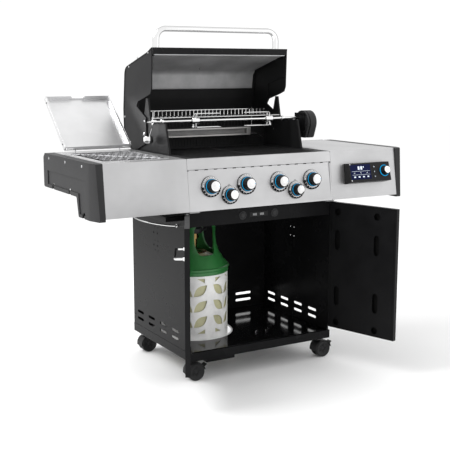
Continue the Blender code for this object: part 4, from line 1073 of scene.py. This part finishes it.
def thermometer():
    low, top = Vector((0, *LID_PANEL_LOW)), Vector((0, *LID_PANEL_HIGH))
    along = (top - low).normalized()
    face = LID @ facing_frame(low.lerp(top, 0.74), (0, -along.z, along.y))
    rim = lathe([(0.029, 0.015), (0.03, 0.0158), (0.0335, 0.015), (0.0352, 0.012), (0.0357, 0.0012),
        (0.032, 0.001), (0.029, 0.011)], 64)
    item = show("thermometer_rim", rim, CHROME, "lid", face)
    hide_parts("lid_thermometer")
    dial = lathe([(0, 0.0105), (0.0295, 0.0105), (0.0295, 0.009), (0, 0.009)], 48)
    show("thermometer_dial", dial, SHROUD, "lid", face)
    ticks = [dash(0.0225, 0.0265, a - 1.2, a + 1.2, 0.0104, 0.0109) for a in range(-45, 226, 18)]
    needle = prism([(-0.002, -0.006), (0.002, -0.006), (0.0006, 0.021), (-0.0006, 0.021)], 0.011, 0.0116,
        round_by=0)
    hub = lathe([(0, 0.0126), (0.003, 0.0122), (0.0032, 0.0108), (0, 0.0108)], 20)
    show("thermometer_marks", merged(*ticks, needle, hub), DARK, "lid", face)
    stem = merged(barrel((0, 0, 0.0), (0, 0, -0.03), 0.003, 16),
        lathe([(0, -0.0085), (0.008, -0.0085), (0.01, -0.0105), (0.01, -0.013), (0, -0.013)], 24))
    show("thermometer_stem", stem, ZINC, "lid", face)


# ---------------------------------------------------------------- rotisserie

SPIT = Matrix.Translation(JOINTS["spit_axis"]["pos_m"])


def on_spit(profile, x, steps=28):
    """A lathed piece turned about the spit's axis."""
    return moved(lathe(profile, steps), shift(x, 0, 0) @ turn(90, "Y"))


def spit_fork(name, x, side):
    """A hub with a thumbscrew and two bent wires, which point to one side."""
    hub = on_spit(mirrored([(0.0068, 0.018), (0.0148, 0.018), (0.016, 0.0165)]), x)
    wires = []
    for y in (-0.0105, 0.0105):
        path = filleted([(x + side * 0.125, y, 0.03), (x, y, 0.03), (x, y, -0.03),
            (x + side * 0.125, y, -0.03)], 0.008, 5)
        wires.append(tube(path, 0.0025, 10))
    thumb = lathe([(0, 0.0), (0.005, 0.001), (0.0058, 0.005), (0.0045, 0.009), (0.003, 0.01), (0.003, 0.02),
        (0, 0.02)], 20)
    thumb = moved(thumb, shift(x - side * 0.01, 0, -0.0315))
    fork = show(f"{name}_wires", merged(hub, thumb, *wires), CHROME, "spit", SPIT)
    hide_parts(name)


def counterweight(x):
    ball = Vector((x - 0.012, 0.032, -0.078))
    rod = tube(filleted([(x, 0.006, 0.042), (x, 0.0085, 0.0), (x, 0.02, -0.03), tuple(ball)], 0.012, 4),
        0.002, 10)
    round_half = [(0, 0.0175), (0.012, 0.0168), (0.0185, 0.014), (0.0212, 0.009)]
    weight = moved(lathe(mirrored(round_half), 40), shift(*ball))
    clamp = on_spit([(0.0068, 0.01), (0.0105, 0.0095), (0.011, 0.0085), (0.011, -0.0065), (0.0105, -0.0075),
        (0.0068, -0.008)], x)
    thumb = barrel((x, 0.01, 0), (x, 0.0195, -0.004), 0.0035, 14, round_by=0.0006)
    item = show("counterweight_parts", merged(rod, weight, clamp, thumb), CHROME, "spit", SPIT)
    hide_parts("spit_counterweight")


def rotisserie():
    spit_fork("spit_fork_left", -0.164, 1)
    spit_fork("spit_fork_right", 0.222, -1)
    counterweight(-0.366)
    bush = [(0.0062, 0.006), (0.0105, 0.0055), (0.011, 0.0), (0.0105, -0.0055), (0.0062, -0.006)]
    point = barrel((-0.379, 0, 0), (-0.3965, 0, 0), 0.0058, 16, 0.0015)
    show("spit_collars", merged(on_spit(bush, -0.326), on_spit(bush, 0.3), point), CHROME, "spit", SPIT)


def motor():
    low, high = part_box("rotisserie_motor")
    left, right = low[0], high[0]

    def shell(grow, near, far, rounding):
        radius = 0.0555 + grow
        outline = arc((0.0, 1.071), radius, -20, 200, 28) + [(-0.034 - grow, 1.004),
            (-0.026 - grow, 0.9995 - grow), (0.03 + grow, 0.9995 - grow), (0.04 + grow, 1.006)]
        return prism(outline, near, far, "YZ", rounding, 3)

    case = merged(shell(0, left + 0.014, right, 0.003), shell(0, left, left + 0.0095, 0.0012))
    item = show("motor_case", case, PLASTIC)
    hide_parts("rotisserie_motor")
    # A dark band set into the case near its end: painted shade in the groove.
    show("motor_groove", shell(-0.004, left + 0.008, left + 0.016, 0), DARK)
    spots = [side_frame((left, y, z), -1) for y, z in ((-0.03, 1.105), (0.012, 1.116), (-0.038, 1.06),
        (0.04, 1.06), (-0.014, 1.015), (0.022, 1.015))]
    show("motor_screws", screws(0.0038, 0.001, spots), DARK)
    socket = moved(lathe([(0.007, 0.0), (0.0125, 0.0), (0.013, -0.0008), (0.013, -0.0028),
        (0.007, -0.0028)], 32), side_frame((left - 0.001, 0.028, 1.092), -1))
    show("motor_socket", socket, ZINC)


# ---------------------------------------------------------------- doors and cabinet

def door(side):
    label = "left" if side < 0 else "right"
    joint = f"door_{label}_hinge"
    place = closed_frame(joint) @ shift(0, 0, -JOINTS[joint]["pos_m"][2])
    ends = [-side * 0.078, -side * 0.278]
    face, out, z = -0.0212, -0.058, 0.6
    path = filleted([(ends[0], face, z), (ends[0], out, z), (ends[1], out, z), (ends[1], face, z)], 0.012, 7)
    handle = show(f"door_{label}_handle_bar", tube(path, 0.0049, 14), CHROME, f"door_{label}", place)
    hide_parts(f"door_{label}_handle")
    feet = [moved(lathe([(0.0049, 0.006), (0.007, 0.0055), (0.008, 0.001), (0.008, 0), (0.0049, 0)], 24),
        facing_frame((x, -0.0202, z), (0, -1, 0))) for x in ends]
    show(f"door_{label}_handle_feet", merged(*feet), CHROME, f"door_{label}", place)
    width = 0.352
    # Dark lines inset from the door's edges: painted shade in the creases of its folds.
    fold = []
    for x0, x1, z0, z1 in ((0.006, width - 0.006, 0.1575, 0.1585), (0.006, width - 0.006, 0.7245, 0.7255),
            (0.0105, 0.0115, 0.158, 0.725), (width - 0.0115, width - 0.0105, 0.158, 0.725)):
        fold.append(slab((-side * x0, -side * x1), (0.0, 0.0004), (z0, z1)))
    show(f"door_{label}_seams", merged(*fold), DARK, f"door_{label}", place)
    # Dark plates just behind the door's slots: painted shade where the openings look into the cabinet.
    wells = []
    for u in (0.045, 0.253):
        wells.append(block((-side * u - 0.016, -0.0165, 0.17), (-side * u + 0.016, -0.016, 0.7), 0))
    show(f"door_{label}_wells", merged(*wells), DARK, f"door_{label}", place)
    top = merged(slab((0, -side * 0.026), (-0.015, -0.001), (0.7318, 0.7334), 0.0004),
        moved(screw(0.0028, 0.0014), shift(-side * 0.018, -0.008, 0.7334)))
    show(f"door_{label}_hinge_plate", top, ZINC, f"door_{label}", place)


def catches():
    """The two door catches on the header and the plate between them."""
    parts = []
    for x in (-0.099, 0.062):
        cup = lathe([(0, 0.0042), (0.0085, 0.0042), (0.01, 0.0036), (0.0115, 0.001), (0.0135, 0.0008),
            (0.016, 0.003), (0.0175, 0.003), (0.019, 0.0), (0, 0.0)], 36)
        parts.append(moved(cup, facing_frame((x, HEADER_FRONT, CATCH_HEIGHT), (0, -1, 0))))
    show("door_catches", merged(*parts), PLASTIC)
    frame_there = facing_frame((-0.0185, HEADER_FRONT, CATCH_HEIGHT), (0, -1, 0))
    show("catch_plate", prism(corners((-0.046, -0.01), (0.046, 0.01)), 0, 0.0015, round_by=0.0004),
        PLASTIC_DARK, place=CART @ frame_there)
    springs = []
    for x in (-0.02, 0.016):
        for i in range(4):
            springs.append(block((x - 0.01 + i * 0.0052, -0.005, 0.0015),
                (x - 0.0072 + i * 0.0052, 0.005, 0.0026), 0.0003))
    show("catch_rollers", merged(*springs), STEEL_DULL, place=CART @ frame_there)


def cart_fixings():
    """The door hinge plates and the cart's screws."""
    plates = [slab((side * 0.318, side * 0.364), (-0.3, -0.262), (0.7354, 0.7392), 0.0004)
        for side in (-1, 1)]
    show("hinge_plates", merged(*plates), STEEL_DULL)
    spots = [side_frame((side * CART_SIDE, y, z), side) for side in (-1, 1) for z in (0.18, 0.42, 0.64)
        for y in (-0.262, 0.262)]
    show("cart_screws", screws(0.0042, 0.0018, spots), PLASTIC_DARK)


def floor_skirts():
    low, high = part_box("cart_floor")
    zs = (low[2] + 0.002, high[2] - 0.001)
    xs, ys = (low[0], high[0]), (low[1], high[1])
    rims = []
    for low_out, high_out in ((-0.0009, -0.0001), (0.0001, 0.0009)):
        x, y = (low[0], low[1]) if low_out < 0 else (high[0], high[1])
        rims.append(slab((x + low_out, x + high_out), ys, zs))
        rims.append(slab(xs, (y + low_out, y + high_out), zs))
    show("floor_skirts", merged(*rims), CABINET, place=ROW)


def panel_holes():
    # Dark discs on the left panel: painted shade in place of holes.
    holes = [moved(lathe([(0, 0.0005), (0.0046, 0.0005), (0.0048, 0), (0, 0)], 16),
        side_frame((-CART_SIDE, y, z), -1)) for z in (0.673, 0.604, 0.548) for y in (0.015, 0.051)]
    show("panel_holes", merged(*holes), DARK)


def cabinet_edges():
    """The folded edges inside the cabinet, and a pale ring at the bottle's hole: painted light standing in
    for the lit floor seen through the gap around the bottle.
    """
    rear_low, rear_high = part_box("cart_rear_panel")
    y = rear_low[1] - CART_Y
    strips = [block((-0.36, y - 0.0018, 0.1322), (0.36, y - 0.0008, 0.148), 0)]
    for side in (-1, 1):
        strips.append(slab((side * 0.342, side * 0.3603), (y - 0.0018, y - 0.0008),
            (0.14, rear_high[2] - 0.002)))
        strips.append(slab((side * 0.359, side * 0.3602), (-0.268, y - 0.003), (0.1322, 0.146)))
    show("cabinet_inner_strips", merged(*strips), CABINET)
    # A pale ring at the hole's edge: painted light in place of the lit floor seen through the gap.
    ring = lathe([(0.17, 0.0026), (0.1745, 0.0024), (0.176, 0.0006), (0.176, 0.0002), (0.17, 0.0002)], 96)
    show("bottle_hole_rim", ring, SHROUD, place=CART @ shift(-0.169, 0.035, 0.1315))


def floor_clips():
    clips = []
    for x in (0.06, 0.115):
        path = filleted([(x - 0.012, -0.15, 0.1325), (x - 0.012, -0.15, 0.1385),
            (x + 0.012, -0.132, 0.1385), (x + 0.012, -0.132, 0.1325)], 0.004, 3)
        clips.append(tube(path, 0.0016, 8))
    show("floor_clips", merged(*clips), ZINC)


# ---------------------------------------------------------------- casters

def caster(label):
    wheel = f"caster_wheel_{label}"
    axle = JOINTS[f"{wheel}_axle"]["pos_m"]
    centre = Matrix.Translation(axle) @ turn(90, "X")
    halves = []
    for end in (-1, 1):
        profile = [(0, 0.0165), (0.009, 0.0165), (0.0105, 0.0185), (0.02, 0.0195), (0.0255, 0.0225),
            (0.03, 0.025), (0.0335, 0.0256), (0.0362, 0.0246), (0.0376, 0.0225), (0.038, 0.02),
            (0.038, 0.01), (0.0374, 0.0078), (0.036, 0.0068), (0.0, 0.0068)]
        halves.append(moved(lathe(profile, 64), Matrix.Diagonal((1, 1, end, 1))))
    item = show(f"{wheel}_twin", merged(*halves), TREAD, wheel, centre)
    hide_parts(wheel)
    hubs = []
    for end in (-1, 1):
        hub = lathe([(0, 0.0195), (0.005, 0.0193), (0.0075, 0.0182), (0.0082, 0.016), (0, 0.016)], 28)
        hubs.append(moved(hub, Matrix.Diagonal((1, 1, end, 1))))
        for k in range(5):
            web = block((0.0105, -0.0016, 0.019), (0.0285, 0.0016, 0.0222), 0.0006)
            hubs.append(moved(web, Matrix.Diagonal((1, 1, end, 1)) @ turn(72 * k)))
    show(f"{wheel}_hubs", merged(*hubs), PLASTIC, wheel, centre)
    swivel = JOINTS[f"caster_{label}_swivel"]["pos_m"]
    base = Matrix.Translation((swivel[0], swivel[1], 0))
    lever = prism([(0.052, 0.0505), (0.0655, 0.056), (0.0735, 0.064), (0.07, 0.067), (0.06, 0.061),
        (0.0535, 0.058)], -0.013, 0.013, "XZ", 0.0014)
    body = f"caster_{label}"
    show(f"{body}_brake", lever, PLASTIC_DARK, body, base)
    plate = lathe([(0, 0.0966), (0.019, 0.0966), (0.0205, 0.0952), (0.02, 0.0905), (0.015, 0.0865),
        (0.0125, 0.082), (0, 0.082)], 36)
    show(f"{body}_race", plate, ZINC, body, base)


# ---------------------------------------------------------------- stage

def stage():
    size = 14.0
    floor = block((-size, -size, -0.02), (size, size, 0), 0)
    ground = principled("studio_floor", (0.97, 0.97, 0.97), 0.85, Specular_IOR_Level=0.0)
    vary_roughness(ground, noise(ground, 4), 0.8, 0.9)
    show("studio_floor", floor, ground, None, ROW)
    world = bpy.data.worlds.new("studio")
    bpy.context.scene.world = world
    world.use_nodes = True
    world.node_tree.nodes["Background"].inputs["Color"].default_value = (1, 1, 1, 1)
    world.node_tree.nodes["Background"].inputs["Strength"].default_value = 1.04


def area_light(name, place, target, size, power):
    light = bpy.data.lights.new(name, "AREA")
    light.energy = power
    light.size = size
    item = bpy.data.objects.new(name, light)
    item.location = place
    item.rotation_euler = (Vector(target) - Vector(place)).to_track_quat("-Z", "Y").to_euler()
    bpy.context.scene.collection.objects.link(item)


def camera():
    azimuth, pitch = math.radians(-29.97), math.radians(9.757)
    back = Vector((math.sin(azimuth) * math.cos(pitch), -math.cos(azimuth) * math.cos(pitch),
        math.sin(pitch)))
    data = bpy.data.cameras.new("camera")
    data.lens = 72.34
    data.sensor_width = 36
    item = bpy.data.objects.new("camera", data)
    item.location = at(-2.063, -3.532, 1.316)
    item.rotation_euler = (-back).to_track_quat("-Z", "Y").to_euler()
    bpy.context.scene.collection.objects.link(item)
    bpy.context.scene.camera = item


dress_frame()
gas_bottle()
for knob_name in [name for name in NODES if name.startswith("knob_")]:
    knob(knob_name)
fascia_trim()
controller()
end_cap(-1)
end_cap(1)
shelf_trim()
tool_rail()
side_grate()
burner_pan()
side_lid_trim()
warming_rack()
burner_details()
firebox_details()
lid_end(-1)
lid_end(1)
lid_inside()
lid_handle()
thermometer()
rotisserie()
motor()
door(-1)
door(1)
catches()
cart_fixings()
floor_skirts()
panel_holes()
cabinet_edges()
floor_clips()
for caster_label in ("front_left", "front_right", "rear_left", "rear_right"):
    caster(caster_label)
stage()
area_light("key", at(-2.2, 0.6, 3.2), at(0, 0, 0.7), 2.2, 95)
area_light("fill", at(2.6, -2.6, 2.2), at(0, 0, 0.7), 2.5, 8)
camera()
bpy.context.scene.view_settings.view_transform = "Standard"
for item in bpy.context.scene.objects:
    if item.type == "MESH" and not item.hide_render:
        weighted = item.modifiers.new("Normals", "WEIGHTED_NORMAL")
        weighted.keep_sharp = True
